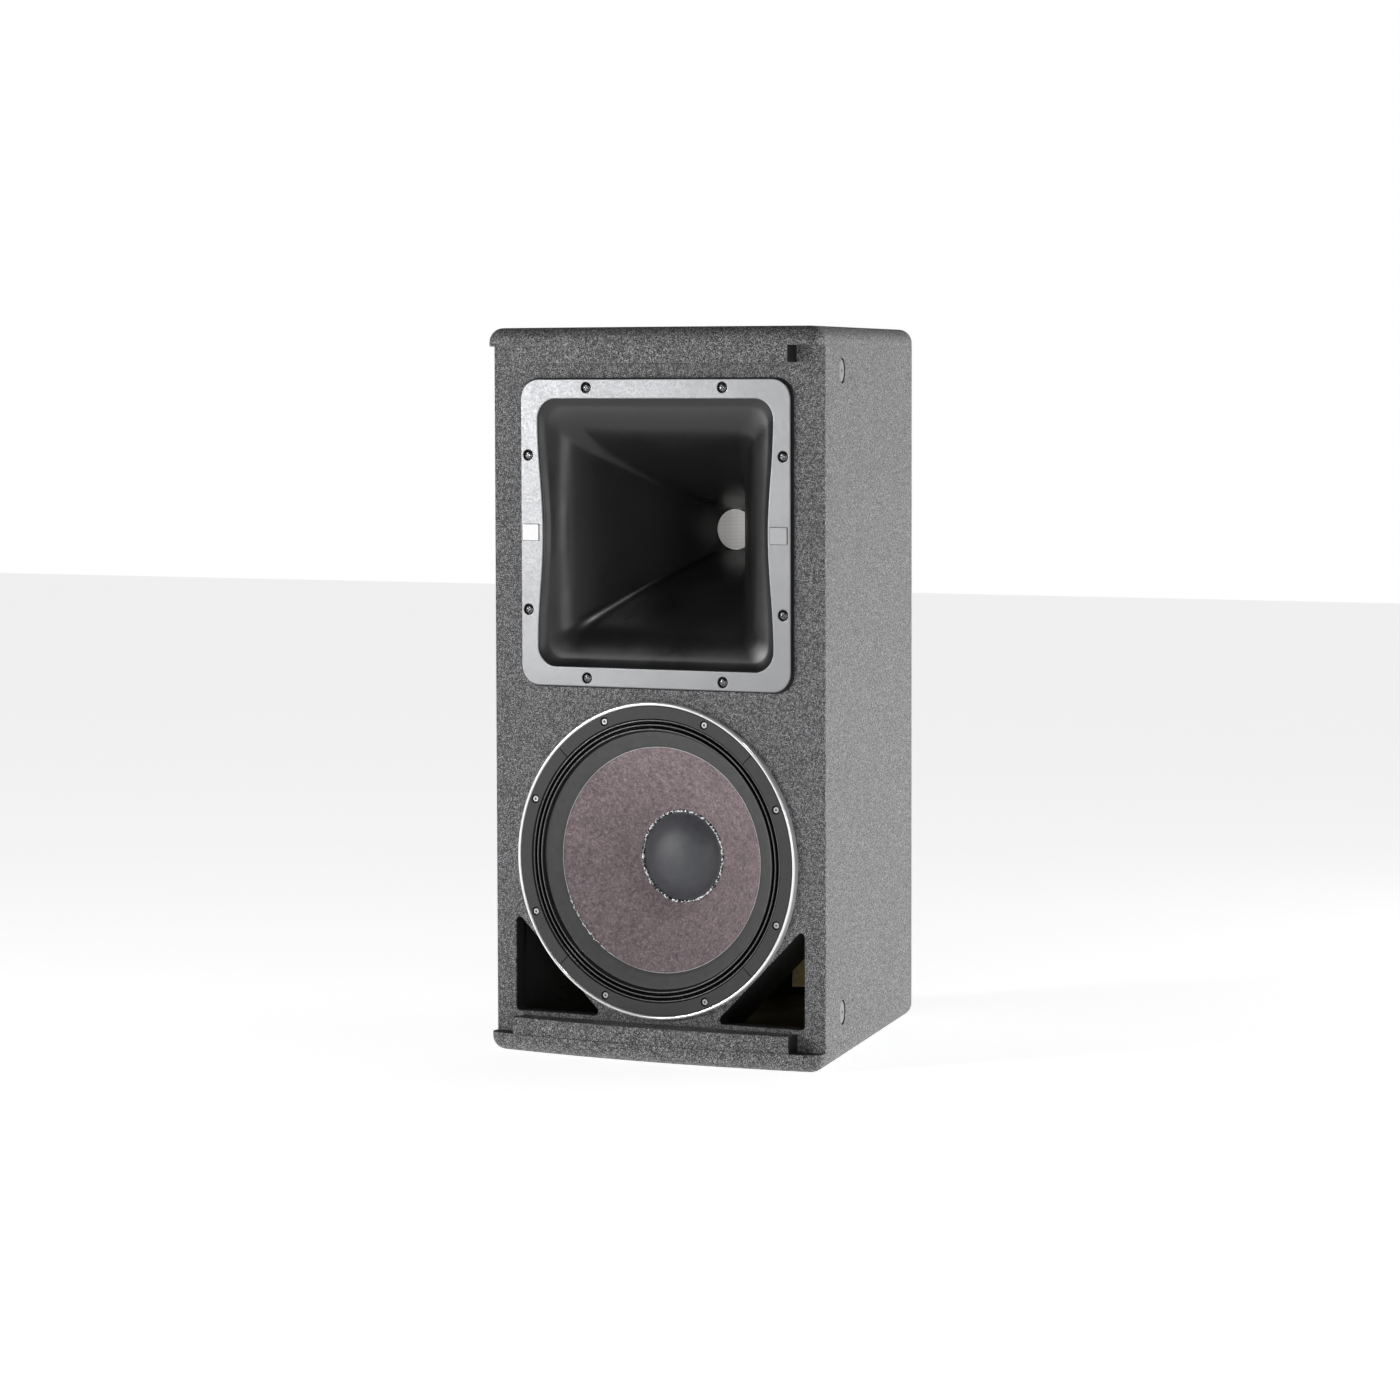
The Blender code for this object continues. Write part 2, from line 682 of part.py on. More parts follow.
def make_horn():
    """The waveguide: square mouth to round throat, a flange at each end."""
    throat_flange, flange_thick = 0.058, 0.008
    skin_start, skin_end = 0.002, 0.155
    flange_half = BEZEL_HALF - GAP
    rings = [
        horn_ring(FLANGE_FRONT, MOUTH_HALF),
        *[horn_ring(depth, half) for depth, half in HORN_LINE],
        round_ring(THROAT_DEPTH, throat_flange),
        round_ring(THROAT_DEPTH - flange_thick, throat_flange),
        *[horn_ring(depth, half, HORN_WALL) for depth, half in reversed(HORN_LINE)
          if skin_start < depth < skin_end],
        horn_ring(FLANGE_BACK, MOUTH_HALF, HORN_WALL),
        square_ring(FLANGE_BACK, flange_half, BEZEL_CORNER),
        square_ring(FLANGE_FRONT, flange_half, BEZEL_CORNER),
    ]
    horn = add_part("waveguide", loft_mesh(rings, closed=True), "black_plastic", (0.0, 0.0, HORN_Z))
    shank, head, step = 0.0027, 0.0052, HEAD_SEAT + GAP
    bore = [(0.0, -0.01), (head, -0.01), (head, step), (shank, step), (shank, 0.01), (0.0, 0.01)]
    screw_hole = turned_mesh(bore, 10, closed=False)
    holes = [(screw_hole, at(x, 0.0, HORN_Z + z)) for x, z in screw_places()]
    cut(horn, add_cutter("waveguide_holes", gathered(holes)))


def make_horn_front():
    """What lies on the waveguide's front flange: the bezel, the foam seal and the eight screws."""
    clear = 0.0004
    mouth = mouth_outline(MOUTH_HALF + clear, MOUTH_HALF + clear, MOUTH_CORNER, MOUTH_BOW, 4, 8)
    heads = [circle(0.0055, 10, place) for place in screw_places()]
    outer = rounded_box(BEZEL_HALF, BEZEL_HALF, BEZEL_CORNER, 5)
    wall_plate("horn_bezel", [outer, mouth, *heads], BEZEL_FRONT, BEZEL_BACK, "bezel_silver", z=HORN_Z)
    pilots = [circle(0.0027, 6, place) for place in screw_places()]
    seal_hole = rounded_box(HORN_CUTOUT + 0.001, HORN_CUTOUT + 0.001, 0.014, 3)
    seal = rounded_box(GASKET_HALF, GASKET_HALF, BEZEL_CORNER, 4)
    wall_plate("horn_gasket", [seal, seal_hole, *pilots], -0.0010, -0.0003, "foam", z=HORN_Z)
    screw = turned_mesh(
        [(0.0, -0.0033), (0.0020, -0.0033), (0.0020, -0.0050), (0.0048, -0.0044), (0.0048, HEAD_SEAT),
         (0.0023, HEAD_SEAT), (0.0023, 0.0175), (0.0, 0.0175)],
        6,
        closed=False,
    )
    for i, (x, z) in enumerate(screw_places(), 1):
        add_part(f"horn_screw_{i}", screw.copy(), "black_steel", (x, 0.0, HORN_Z + z), FACING_FRONT)


# ---------------------------------------------------------------- high-frequency driver


def make_hf_driver():
    """A compression driver behind the throat. Depths are from the horn's throat."""
    place = (0.0, THROAT_DEPTH, HORN_Z)
    steps = 20
    turned("throat_screen", [(0.0, -0.0016), (0.0200, -0.0016), (0.0200, -0.0009), (0.0, -0.0009)],
           "screen", steps, closed=False, place=place)
    turned(
        "hf_pole_piece",
        [(0.0620, 0.0003), (0.0620, 0.0085), (0.0340, 0.0085), (0.0340, 0.0360), (0.0300, 0.0360),
         (0.0300, 0.0340), (THROAT_RADIUS, 0.0060), (THROAT_RADIUS, 0.0003)],
        "zinc_steel", steps, place=place,
    )
    turned("hf_phase_plug", [(0.0, 0.0080), (0.0085, 0.0180), (0.0200, 0.0300), (0.0268, 0.0348),
                             (0.0290, 0.0348), (0.0290, 0.0360), (0.0180, 0.0330), (0.0, 0.0310)],
           "black_plastic", steps, closed=False, place=place)
    turned("hf_magnet", [(0.0600, 0.0088), (0.0600, 0.0280), (0.0380, 0.0280), (0.0380, 0.0088)],
           "ferrite", steps, place=place)
    turned("hf_top_plate", [(0.0620, 0.0283), (0.0620, 0.0360), (0.0362, 0.0360), (0.0362, 0.0283)],
           "zinc_steel", steps, place=place)
    turned("hf_diaphragm",
           [(0.0, 0.0450), (0.0180, 0.0425), (0.0300, 0.0376), (0.0346, 0.0376), (0.0346, 0.0300),
            (0.0354, 0.0300), (0.0354, 0.0376), (0.0398, 0.0376), (0.0398, 0.0380), (0.0300, 0.0381),
            (0.0180, 0.0430), (0.0, 0.0455)],
           "titanium", steps, closed=False, place=place)
    turned("hf_rear_cover",
           [(0.0, 0.0595), (0.0530, 0.0595), (0.0595, 0.0550), (0.0595, 0.0363), (0.0620, 0.0363),
            (0.0620, 0.0560), (0.0540, 0.0620), (0.0, 0.0620)],
           "black_plastic", steps, closed=False, place=place)


# ---------------------------------------------------------------- woofer


def make_basket():
    basket = turned(
        "woofer_basket",
        [(0.1538, -0.0070), (WOOFER_RADIUS, -0.0062), (WOOFER_RADIUS, -0.0003), (0.1392, -0.0003),
         (0.1386, 0.0080), (0.1200, 0.0400), (0.0850, 0.0600), (0.0830, 0.0777), (0.0760, 0.0777),
         (0.0760, 0.0640), (0.0800, 0.0560), (0.1165, 0.0370), (0.1350, 0.0080), (0.1372, -0.0031),
         (0.1512, -0.0031), (0.1518, -0.0070)],
        "cast_aluminium", ROUND_STEPS, place=(0.0, 0.0, WOOFER_Z),
    )
    hole = turned_mesh([(0.0, -0.02), (0.0028, -0.02), (0.0028, 0.006), (0.0, 0.006)], 6, closed=False)
    holes = gathered([(hole, at(x, 0.0, WOOFER_Z + z)) for x, z in woofer_screw_places()])
    cut(basket, add_cutter("basket_screw_holes", holes))
    window = block_mesh((0.052, 0.062, 0.034))
    windows = []
    for i in range(6):
        turn = Matrix.Rotation(math.radians(60 * i), 4, "Z")
        windows.append((window, turn @ Matrix.Translation((0.108, 0.0, -0.0370))))
    cut(basket, add_cutter("basket_windows", gathered(windows), (0.0, 0.0, WOOFER_Z), FACING_FRONT))


def make_woofer_gasket():
    """The black ring over the edge of the surround, with a hole round each screw's head."""
    ring = [circle(0.1509, ROUND_STEPS), circle(0.1372, ROUND_STEPS)]
    notches = [circle(0.0049, 8, place) for place in woofer_screw_places()]
    wall_plate("woofer_gasket", ring + notches, -0.0066, -0.0039, "foam", z=WOOFER_Z)


def make_moving_parts():
    """Cone, dust cap and voice coil: what travels along the woofer's axis."""
    place = (0.0, 0.0, WOOFER_Z)
    front = [(0.1215, 0.0012), (CONE_EDGE, 0.0068), (0.0800, 0.0258), (0.0570, 0.0415), (0.0386, 0.0560)]
    back = [(radius, depth + 0.0012) for radius, depth in reversed(front)]
    turned("woofer_cone", (front + back)[::-1], "cone_paper", ROUND_STEPS, place=place)
    dome = [(0.0, 0.0368), (0.0170, 0.0385), (0.0310, 0.0432), (0.0400, 0.0492), (0.0436, 0.0502)]
    inner = [(0.0436, 0.0509), (0.0396, 0.0503), (0.0304, 0.0443), (0.0168, 0.0396), (0.0, 0.0380)]
    turned("dust_cap", dome + inner, "dust_cap", 24, closed=False, place=place)
    turned("voice_coil",
           [(COIL_RADIUS, 0.0545), (COIL_RADIUS, 0.0790), (0.0390, 0.0790), (0.0390, 0.0930),
            (0.0376, 0.0930), (0.0376, 0.0545)],
           "copper", 24, place=place)


def make_suspension():
    """The pleated surround round the cone and the spider round the coil, both soft."""
    place = (0.0, 0.0, WOOFER_Z)
    thick = 0.0007
    line = [(0.1368, -0.0036), (0.1350, -0.0056), (0.1328, -0.0018), (0.1305, -0.0048),
            (0.1283, -0.0010), (0.1262, -0.0034), (0.1240, -0.0004), (0.1215, 0.0003)]
    back = [(radius, depth + thick) for radius, depth in line]
    turned("woofer_surround", line[::-1] + back, "surround_cloth", ROUND_STEPS, place=place)
    ripples = [(0.0750, 0.0640), (0.0680, 0.0620), (0.0600, 0.0650), (0.0520, 0.0620), (0.0450, 0.0650),
               (0.0394, 0.0640)]
    under = [(radius, depth + thick) for radius, depth in ripples]
    turned("spider", ripples[::-1] + under, "spider_cloth", 24, place=place)


def make_motor():
    """Top plate, ring magnet, and the back plate with its vented pole."""
    place = (0.0, 0.0, WOOFER_Z)
    turned("woofer_top_plate", [(0.0860, 0.0780), (0.0860, 0.0860), (0.0398, 0.0860), (0.0398, 0.0780)],
           "zinc_steel", 28, place=place)
    turned("woofer_magnet", [(0.0880, 0.0863), (0.0880, 0.1080), (0.0480, 0.1080), (0.0480, 0.0863)],
           "ferrite", 28, place=place)
    turned("woofer_back_plate",
           [(0.0368, 0.0780), (0.0368, 0.1083), (0.0860, 0.1083), (0.0830, 0.1170), (0.0150, 0.1170),
            (0.0110, 0.1100), (0.0110, 0.0780)],
           "zinc_steel", 28, place=place)


def make_woofer_terminals():
    """The block on the basket that the coil's leads and the cable meet."""
    low, high = (-0.016, 0.0605, WOOFER_Z + 0.0865), (0.016, 0.0680, WOOFER_Z + 0.1000)
    block("woofer_terminals", low, high, "black_plastic")


# ---------------------------------------------------------------- rear panel and electrics


def dish_screw_places():
    x, z = DISH_HALF_X + 0.0048, DISH_HALF_Z + 0.0048
    return [(sx * x, sz * z) for sx in (-1, 1) for sz in (-1, 1)]


def rect_ring(half_x, half_z, y):
    return [(x, y, z) for x, z in rounded_box(half_x, half_z, 0.004, 2)]


def make_dish():
    """The moulded input dish, with its flange on the back panel and its floor inside."""
    floor = DISH_FRONT - DISH_DEPTH
    under = DISH_FRONT - DISH_FLANGE_THICK
    hx, hz, wall = DISH_HALF_X, DISH_HALF_Z, DISH_WALL
    rings = [
        rect_ring(hx - 0.003 + wall, hz - 0.003 + wall, floor - wall),
        rect_ring(hx + wall, hz + wall, under),
        rect_ring(hx + DISH_FLANGE, hz + DISH_FLANGE, under),
        rect_ring(hx + DISH_FLANGE, hz + DISH_FLANGE, DISH_FRONT),
        rect_ring(hx, hz, DISH_FRONT),
        rect_ring(hx - 0.003, hz - 0.003, floor),
    ]
    dish = add_part("input_dish", loft_mesh(rings), "black_plastic", (0.0, 0.0, DISH_Z), smooth=False)
    facing_back = Matrix.Rotation(-math.pi / 2, 4, "X")
    socket_hole = turned_mesh([(0.0, -0.01), (0.0123, -0.01), (0.0123, 0.01), (0.0, 0.01)], 14, closed=False)
    screw_hole = turned_mesh([(0.0, -0.01), (0.0020, -0.01), (0.0020, 0.01), (0.0, 0.01)], 6, closed=False)
    holes = [(socket_hole, at(x, floor, DISH_Z + SOCKET_Z, facing_back)) for x in SOCKET_XS]
    holes += [(screw_hole, at(x, under, DISH_Z + z, facing_back)) for x, z in dish_screw_places()]
    slot = block_mesh((0.0136, 0.02, 0.0056))
    holes.append((slot, Matrix.Translation((0.0, floor, DISH_Z + SWITCH_Z))))
    cut(dish, add_cutter("input_dish_holes", gathered(holes)))


def make_dish_fittings():
    """Two locking sockets, the barrier strip with its hinged cover, and the mode switch."""
    floor = DISH_FRONT - DISH_DEPTH
    socket = turned_mesh(
        [(0.0, 0.0150), (0.0095, 0.0150), (0.0095, -0.0060), (0.0125, -0.0060), (0.0150, -0.0024),
         (0.0150, -0.0003), (0.0120, -0.0003), (0.0120, 0.0180), (0.0, 0.0180)],
        14,
        closed=False,
    )
    for x, word in zip(SOCKET_XS, ("left", "right")):
        place = (x, floor, DISH_Z + SOCKET_Z)
        add_part(f"{word}_output_socket", socket.copy(), "black_plastic", place, FACING_BACK)
    make_barrier_strip(floor)
    make_mode_switch(floor)


def make_barrier_strip(floor):
    """Four terminal bays between raised fences, and a cover that pivots in two ears at the top."""
    pitch, fence, base, tall = 0.0120, 0.0016, 0.0050, 0.0095
    half = pitch * 2 + fence / 2
    comb = [(-half, 0.0), (half, 0.0), (half, tall)]
    for i in range(4):
        right = half - fence - i * pitch
        left = right - (pitch - fence)
        comb += [(right, tall), (right, base), (left, base), (left, tall)]
    comb.append((-half, tall))
    z = DISH_Z + STRIP_Z
    place = (0.0, floor + GAP, z)
    strip = add_part("barrier_strip", flat_mesh([comb], 0.018), "black_plastic", place, smooth=False)
    pivot_y, pivot_z = floor + 0.0118, z + 0.0122
    sideways = Matrix.Rotation(math.pi / 2, 4, "Y") @ Matrix.Rotation(math.pi / 2, 4, "Z")
    foot = GAP - (pivot_y - floor)
    ear = [(foot, -0.0060), (0.0025, -0.0025), (0.0025, 0.0025), (foot, 0.0030)]
    ear_mesh = flat_mesh([ear, circle(0.0013, 8)], 0.0022)
    ears = gathered([
        (ear_mesh, Matrix.Translation((side * (half - 0.0004), pivot_y, pivot_z)) @ sideways)
        for side in (-1, 1)
    ])
    union = strip.modifiers.new("ears", "BOOLEAN")
    union.operation = "UNION"
    union.solver = "EXACT"
    union.object = add_cutter("barrier_strip_ears", ears)
    inner = half - 0.0004 - 0.0011 - GAP
    reach = 0.0215
    flap = [(-0.0008, -reach), (0.0008, -reach), (0.0008, -0.0008), (0.0018, 0.0), (0.0, 0.0018),
            (-0.0018, 0.0), (-0.0008, -0.0008)]
    cover = flat_mesh([flap], inner * 2)
    lid = add_part("terminal_cover", cover, "clear_cover", (0.0, pivot_y, pivot_z), sideways.to_euler(),
                   smooth=False)
    tip = half + 0.0010
    pins = turned_mesh([(0.0, -tip), (0.0009, -tip), (0.0009, tip), (0.0, tip)], 8, closed=False)
    join = lid.modifiers.new("trunnions", "BOOLEAN")
    join.operation = "UNION"
    join.solver = "EXACT"
    join.object = add_cutter("cover_trunnions", pins, (0.0, pivot_y, pivot_z), (0.0, math.pi / 2, 0.0))


def make_mode_switch(floor):
    """A two-way slide switch behind the floor of the dish, its lever at the left end of its throw."""
    z, throw = DISH_Z + SWITCH_Z, 0.0060
    back = floor - DISH_WALL - GAP
    block("mode_switch_body", (-0.0105, back - 0.0070, z - 0.0050), (0.0105, back, z + 0.0050), "zinc_steel")
    middle = -throw / 2
    low, high = (middle - 0.0022, back + GAP, z - 0.0020), (middle + 0.0022, floor + 0.0035, z + 0.0020)
    block("mode_switch_lever", low, high, "black_plastic")


def make_crossover():
    """The crossover board above the shelf, with its largest coil and capacitor."""
    board_back = DEPTH - BACK_THICK - 0.006
    board_front = board_back - 0.0016
    hx, hz = CROSSOVER_HALF_X, CROSSOVER_HALF_Z
    block("crossover_board", (-hx, board_front, CROSSOVER_Z - hz), (hx, board_back, CROSSOVER_Z + hz), "board")
    face = board_front - GAP
    turned("crossover_inductor", [(0.021, -0.020), (0.021, 0.0), (0.010, 0.0), (0.010, -0.020)],
           "copper", 16, place=(-0.025, face, CROSSOVER_Z - 0.046))
    turned("crossover_capacitor", [(0.0, -0.019), (0.0085, -0.019), (0.0085, 0.019), (0.0, 0.019)],
           "component", 12, closed=False, place=(0.024, face - 0.0087, CROSSOVER_Z - 0.050),
           turn=(0.0, math.pi / 2, 0.0))


def make_wiring():
    """The leads inside the cabinet: input to crossover, crossover to woofer and to horn driver."""
    floor = DISH_FRONT - DISH_DEPTH
    board = DEPTH - BACK_THICK - 0.0076
    low, high = CROSSOVER_Z - CROSSOVER_HALF_Z, CROSSOVER_Z + CROSSOVER_HALF_Z
    routes = {
        "input_cable": [
            (0.0, floor - 0.0300, DISH_Z + SOCKET_Z), (0.0, floor - 0.042, DISH_Z + SOCKET_Z + 0.025),
            (0.004, floor - 0.055, BRACE_Z), (0.006, floor - 0.050, BRACE_Z + 0.030),
            (0.006, board - 0.010, low + 0.012), (0.006, board - 0.0035, low + 0.020),
        ],
        "woofer_cable": [
            (-0.004, board - 0.0035, low + 0.006), (-0.006, board - 0.020, low - 0.004),
            (-0.010, board - 0.085, BRACE_Z + 0.004), (-0.010, 0.220, BRACE_Z - 0.040),
            (-0.006, 0.130, WOOFER_Z + 0.110), (0.0, 0.085, WOOFER_Z + 0.098), (0.0, 0.0705, WOOFER_Z + 0.0935),
        ],
        "hf_cable": [
            (0.004, board - 0.0035, high - 0.006), (0.004, board - 0.030, high + 0.012),
            (0.002, 0.300, HORN_Z + 0.100), (0.0, 0.245, HORN_Z + 0.098), (0.0, 0.212, HORN_Z + 0.086),
            (0.0, 0.207, HORN_Z + 0.066),
        ],
    }
    for name, route in routes.items():
        add_part(name, tube_mesh(route, 0.0022), "wire")


def main():
    make_top_and_bottom()
    make_sides()
    make_fly_points()
    make_baffle()
    make_back()
    make_battens()
    make_brace()
    make_port_boards()
    make_damping()
    make_horn()
    make_horn_front()
    make_hf_driver()
    make_basket()
    make_woofer_gasket()
    make_moving_parts()
    make_suspension()
    make_motor()
    make_woofer_terminals()
    make_dish()
    make_dish_fittings()
    make_crossover()
    make_wiring()


PARTS, CUTTERS, ROOT, FINISHES = start_scene()
main()
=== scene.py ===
"""Looks for a two-way loudspeaker cabinet: speckled paint, silver horn bezel, bright woofer ring.

Metres, +Z up, front towards -Y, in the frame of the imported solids. Depths are measured from the
baffle's front face and run back into the cabinet.
"""

from math import atan2, copysign, cos, hypot, pi, radians, sin, sqrt, tan

import bmesh
import bpy
from mathutils import Matrix, Vector, noise
from mathutils.geometry import tessellate_polygon
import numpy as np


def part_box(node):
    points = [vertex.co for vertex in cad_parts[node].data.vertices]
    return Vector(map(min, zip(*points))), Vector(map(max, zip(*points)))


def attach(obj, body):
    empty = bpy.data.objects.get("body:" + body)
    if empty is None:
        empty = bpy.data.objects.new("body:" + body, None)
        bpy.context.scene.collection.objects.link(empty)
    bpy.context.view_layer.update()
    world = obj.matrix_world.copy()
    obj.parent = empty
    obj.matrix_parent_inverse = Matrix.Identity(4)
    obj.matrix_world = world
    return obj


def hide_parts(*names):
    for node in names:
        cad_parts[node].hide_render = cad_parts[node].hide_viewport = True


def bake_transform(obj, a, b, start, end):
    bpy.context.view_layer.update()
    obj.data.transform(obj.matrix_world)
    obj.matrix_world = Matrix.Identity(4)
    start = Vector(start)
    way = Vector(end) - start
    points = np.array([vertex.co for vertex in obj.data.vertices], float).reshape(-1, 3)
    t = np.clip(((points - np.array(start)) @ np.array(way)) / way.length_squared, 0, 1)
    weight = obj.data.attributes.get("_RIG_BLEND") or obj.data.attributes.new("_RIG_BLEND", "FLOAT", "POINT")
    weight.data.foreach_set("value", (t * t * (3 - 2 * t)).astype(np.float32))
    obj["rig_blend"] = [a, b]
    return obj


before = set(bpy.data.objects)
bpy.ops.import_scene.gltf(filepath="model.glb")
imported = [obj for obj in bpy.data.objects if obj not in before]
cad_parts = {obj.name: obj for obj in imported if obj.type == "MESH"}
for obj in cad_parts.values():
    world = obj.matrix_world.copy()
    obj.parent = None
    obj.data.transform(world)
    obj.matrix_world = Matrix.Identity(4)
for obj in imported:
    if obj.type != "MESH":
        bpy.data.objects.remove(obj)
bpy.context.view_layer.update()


def middle(node):
    """The centre of a node's box."""
    return sum(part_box(node), Vector()) / 2


# Measured on the frame
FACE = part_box("baffle")[0].y  # front of the baffle
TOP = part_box("top_panel")[1].z
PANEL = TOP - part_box("top_panel")[0].z  # thickness of the top and bottom panels
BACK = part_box("back_panel")[1].y
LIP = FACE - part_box("top_panel")[0].y
BAFFLE_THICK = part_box("baffle")[1].y - FACE
HORN = Vector((0, FACE, middle("waveguide").z))
WOOFER = Vector((0, FACE, middle("woofer_basket").z))
WOOFER_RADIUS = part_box("woofer_basket")[1].x
BEZEL_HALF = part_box("horn_bezel")[1].x
DISH = middle("input_dish")
FRONT = Vector((0, FACE, 0))

# Shared with the solids
TAPER = radians(15.3)
HALF_WIDTH = 0.184
LIP_RADIUS = 1.1
PLAN_CORNER = 0.0155
EDGE_ROUND = 0.014
SIDE_THICK = 0.015
MOUTH_HALF, MOUTH_CORNER, MOUTH_BOW = 0.13, 0.02, 0.006
HORN_LINE = (  # (depth, half width) of the horn's inside
    (0, 0.124), (0.002, 0.116), (0.005, 0.108), (0.01, 0.1003), (0.018, 0.0925),
    (0.03, 0.0838), (0.05, 0.0715), (0.07, 0.0595), (0.092, 0.0472), (0.12, 0.0345),
    (0.15, 0.0234), (0.16, 0.0204),
)
GASKET_HALF, BEZEL_CORNER = 0.1508, 0.0195
THROAT_RADIUS, THROAT_DEPTH, THROAT_CORNER, THROAT_PLATE = 0.0204, 0.16, 0.0025, 0.058
SQUARE_END = 0.135  # depth at which the horn starts to turn round
FLANGE_FRONT, FLANGE_BACK, HORN_WALL = -0.0037, -0.0013, 0.003
BEZEL_FRONT, BEZEL_BACK = -0.0053, -0.004
SCREW_NEAR, SCREW_FAR = 0.0755, 0.1413
WOOFER_SCREW_RING = 0.145
PORT_OUTER_X, PORT_BOTTOM_Z, PORT_LEG, PORT_CORNER = 0.161, 0.039, 0.0985, 0.004
FLY_ALONG = 0.077
SOCKET_XS, SOCKET_Z = (-0.019, 0.019), 0.04

# Drawn here only
PLEAT_CRESTS = (0.1368, 0.1324, 0.128)  # radii of the surround's pleats
FINE_EDGE = 0.0005  # radius of an edge that only looks sharp
EDGE_FLAT = 0.0006  # width of the flat that ends a rounded edge
WOOL_CELL = 0.006
RING_ARC, RING_SIDE = 10, 24  # points along a corner and a side of the horn's rings
ROUND_STEPS = 160

FLOOR_GLOW = 0.78
WORLD_BACK = ((-1, 0.05), (0.1, 0.1), (0.5, 0.8), (1, 0.8))  # (y, brightness) of the backdrop
WORLD_UP = ((-0.2, 1.1), (0.15, 1), (0.4, 0.3), (1, 0.02))  # (z, brightness)
LIGHTS_AIM = (0, -0.2, 0.4)
CAMERA_PLACE = (2.2847, -4.2032, 0.6608)
CAMERA_TURN = (29.148, 3.843, -0.147)  # yaw, pitch and roll in degrees
CAMERA_LENS, CAMERA_SENSOR = 122.88, 36

LEAN = tan(TAPER)
HORN_SCREWS = [(sx * a, sz * b) for a, b in ((SCREW_NEAR, SCREW_FAR), (SCREW_FAR, SCREW_NEAR))
               for sx in (-1, 1) for sz in (-1, 1)]
WOOFER_SCREW_ANGLES = [radians(22.5 + 45 * i) for i in range(8)]
WOOFER_SCREWS = [(WOOFER_SCREW_RING * cos(a), WOOFER_SCREW_RING * sin(a)) for a in WOOFER_SCREW_ANGLES]
FACING_BACK = Matrix.Rotation(pi, 4, "Z")


def about_y(degrees):
    return Matrix.Rotation(radians(degrees), 4, "Y")


# ---- materials


class Tree:
    """Adds nodes to a node tree. A value is a number, a colour, a vector or another node's output."""

    def __init__(self, tree):
        self.tree = tree

    def put(self, socket, value):
        if isinstance(value, bpy.types.NodeSocket):
            self.tree.links.new(value, socket)
        elif socket.type == "RGBA":
            socket.default_value = (*value, 1)
        else:
            socket.default_value = value

    def add(self, kind, inputs, output=0, **settings):
        """A new node's output. Inputs are given by name or by number."""
        node = self.tree.nodes.new(f"ShaderNode{kind}")
        for name, value in settings.items():
            setattr(node, name, value)
        for key, value in inputs.items():
            self.put(node.inputs[key], value)
        return node.outputs[output]

    def ramp(self, source, *stops):
        """A colour ramp through (place, colour) stops. A colour may be one grey value."""
        colour = self.add("ValToRGB", {"Fac": source})
        elements = colour.node.color_ramp.elements
        while len(elements) < len(stops):
            elements.new(0.5)
        for element, (place, tone) in zip(elements, stops):
            element.position = place
            element.color = (*tone, 1) if isinstance(tone, tuple) else (tone, tone, tone, 1)
        return colour

    def math(self, operation, *values):
        return self.add("Math", dict(enumerate(values)), operation=operation)

    def vector_math(self, operation, output, *values):
        return self.add("VectorMath", dict(enumerate(values)), output, operation=operation)

    def multiply(self, a, b):
        return self.add("Mix", {0: 1, 6: a, 7: b}, 2, data_type="RGBA", blend_type="MULTIPLY")


class Look(Tree):
    """A procedural material: one Principled shader, fed by a few texture nodes in object space."""

    def __init__(self, name, colour, roughness, metallic=0, **sockets):
        self.material = bpy.data.materials.new(name)
        self.material.use_nodes = True
        self.material.diffuse_color = (*colour, 1)
        super().__init__(self.material.node_tree)
        self.shader = self.tree.nodes["Principled BSDF"]
        for key, value in dict(Base_Color=colour, Roughness=roughness, Metallic=metallic, **sockets).items():
            self.put(self.shader.inputs[key.replace("_", " ")], value)
        self.coords = self.add("TexCoord", {}, "Object")

    def stretched(self, scale):
        """Object coordinates stretched along the axes, for grain and brush marks."""
        return self.add("Mapping", {"Vector": self.coords, "Scale": scale})

    def noise(self, scale, detail=2, roughness=0.5, distortion=0, vector=None):
        inputs = {"Vector": vector or self.coords, "Scale": scale, "Detail": detail, "Roughness": roughness,
                  "Distortion": distortion}
        return self.add("TexNoise", inputs, "Fac")

    def wave(self, scale, direction):
        return self.add("TexWave", {"Vector": self.coords, "Scale": scale}, "Fac", bands_direction=direction)

    def paint(self, colour):
        self.put(self.shader.inputs["Base Color"], colour)

    def polish(self, roughness):
        self.put(self.shader.inputs["Roughness"], roughness)

    def bump(self, height, distance, strength=1):
        """Adds a bump to the shader's normal, on top of any earlier one."""
        normal = self.shader.inputs["Normal"]
        inputs = {"Strength": strength, "Distance": distance, "Height": height}
        if normal.is_linked:
            inputs["Normal"] = normal.links[0].from_socket
        self.put(normal, self.add("Bump", inputs))
        return self


def shade(colour, share):
    return tuple(c * share for c in colour)


def speckled_paint():
    """Thick charcoal paint rolled on to leave fine grains, lighter on their tops: painted glints of light on
    the grains.
    """
    look = Look("speckled_paint", (0.09, 0.09, 0.092), 0.5)
    grain = look.noise(1000, 2, 0.7)
    peel = look.noise(340, 3, 0.65)
    clouds = look.noise(26, 3, 0.55)
    # painted glints: the grain's high points are painted light grey for the sparkle of light on the paint
    tone = look.ramp(grain, (0.4, (0.018, 0.018, 0.019)), (0.5, (0.105, 0.105, 0.108)),
                     (0.58, (0.5, 0.5, 0.508)))
    soft = look.multiply(look.ramp(clouds, (0.3, 0.88), (0.7, 1)),
                         look.ramp(peel, (0.4, 0.34), (0.58, 1)))
    look.paint(look.multiply(tone, soft))
    look.polish(look.ramp(grain, (0.4, 0.6), (0.6, 0.36)))
    return look.bump(peel, 0.0014, 0.8).bump(grain, 0.0009).material


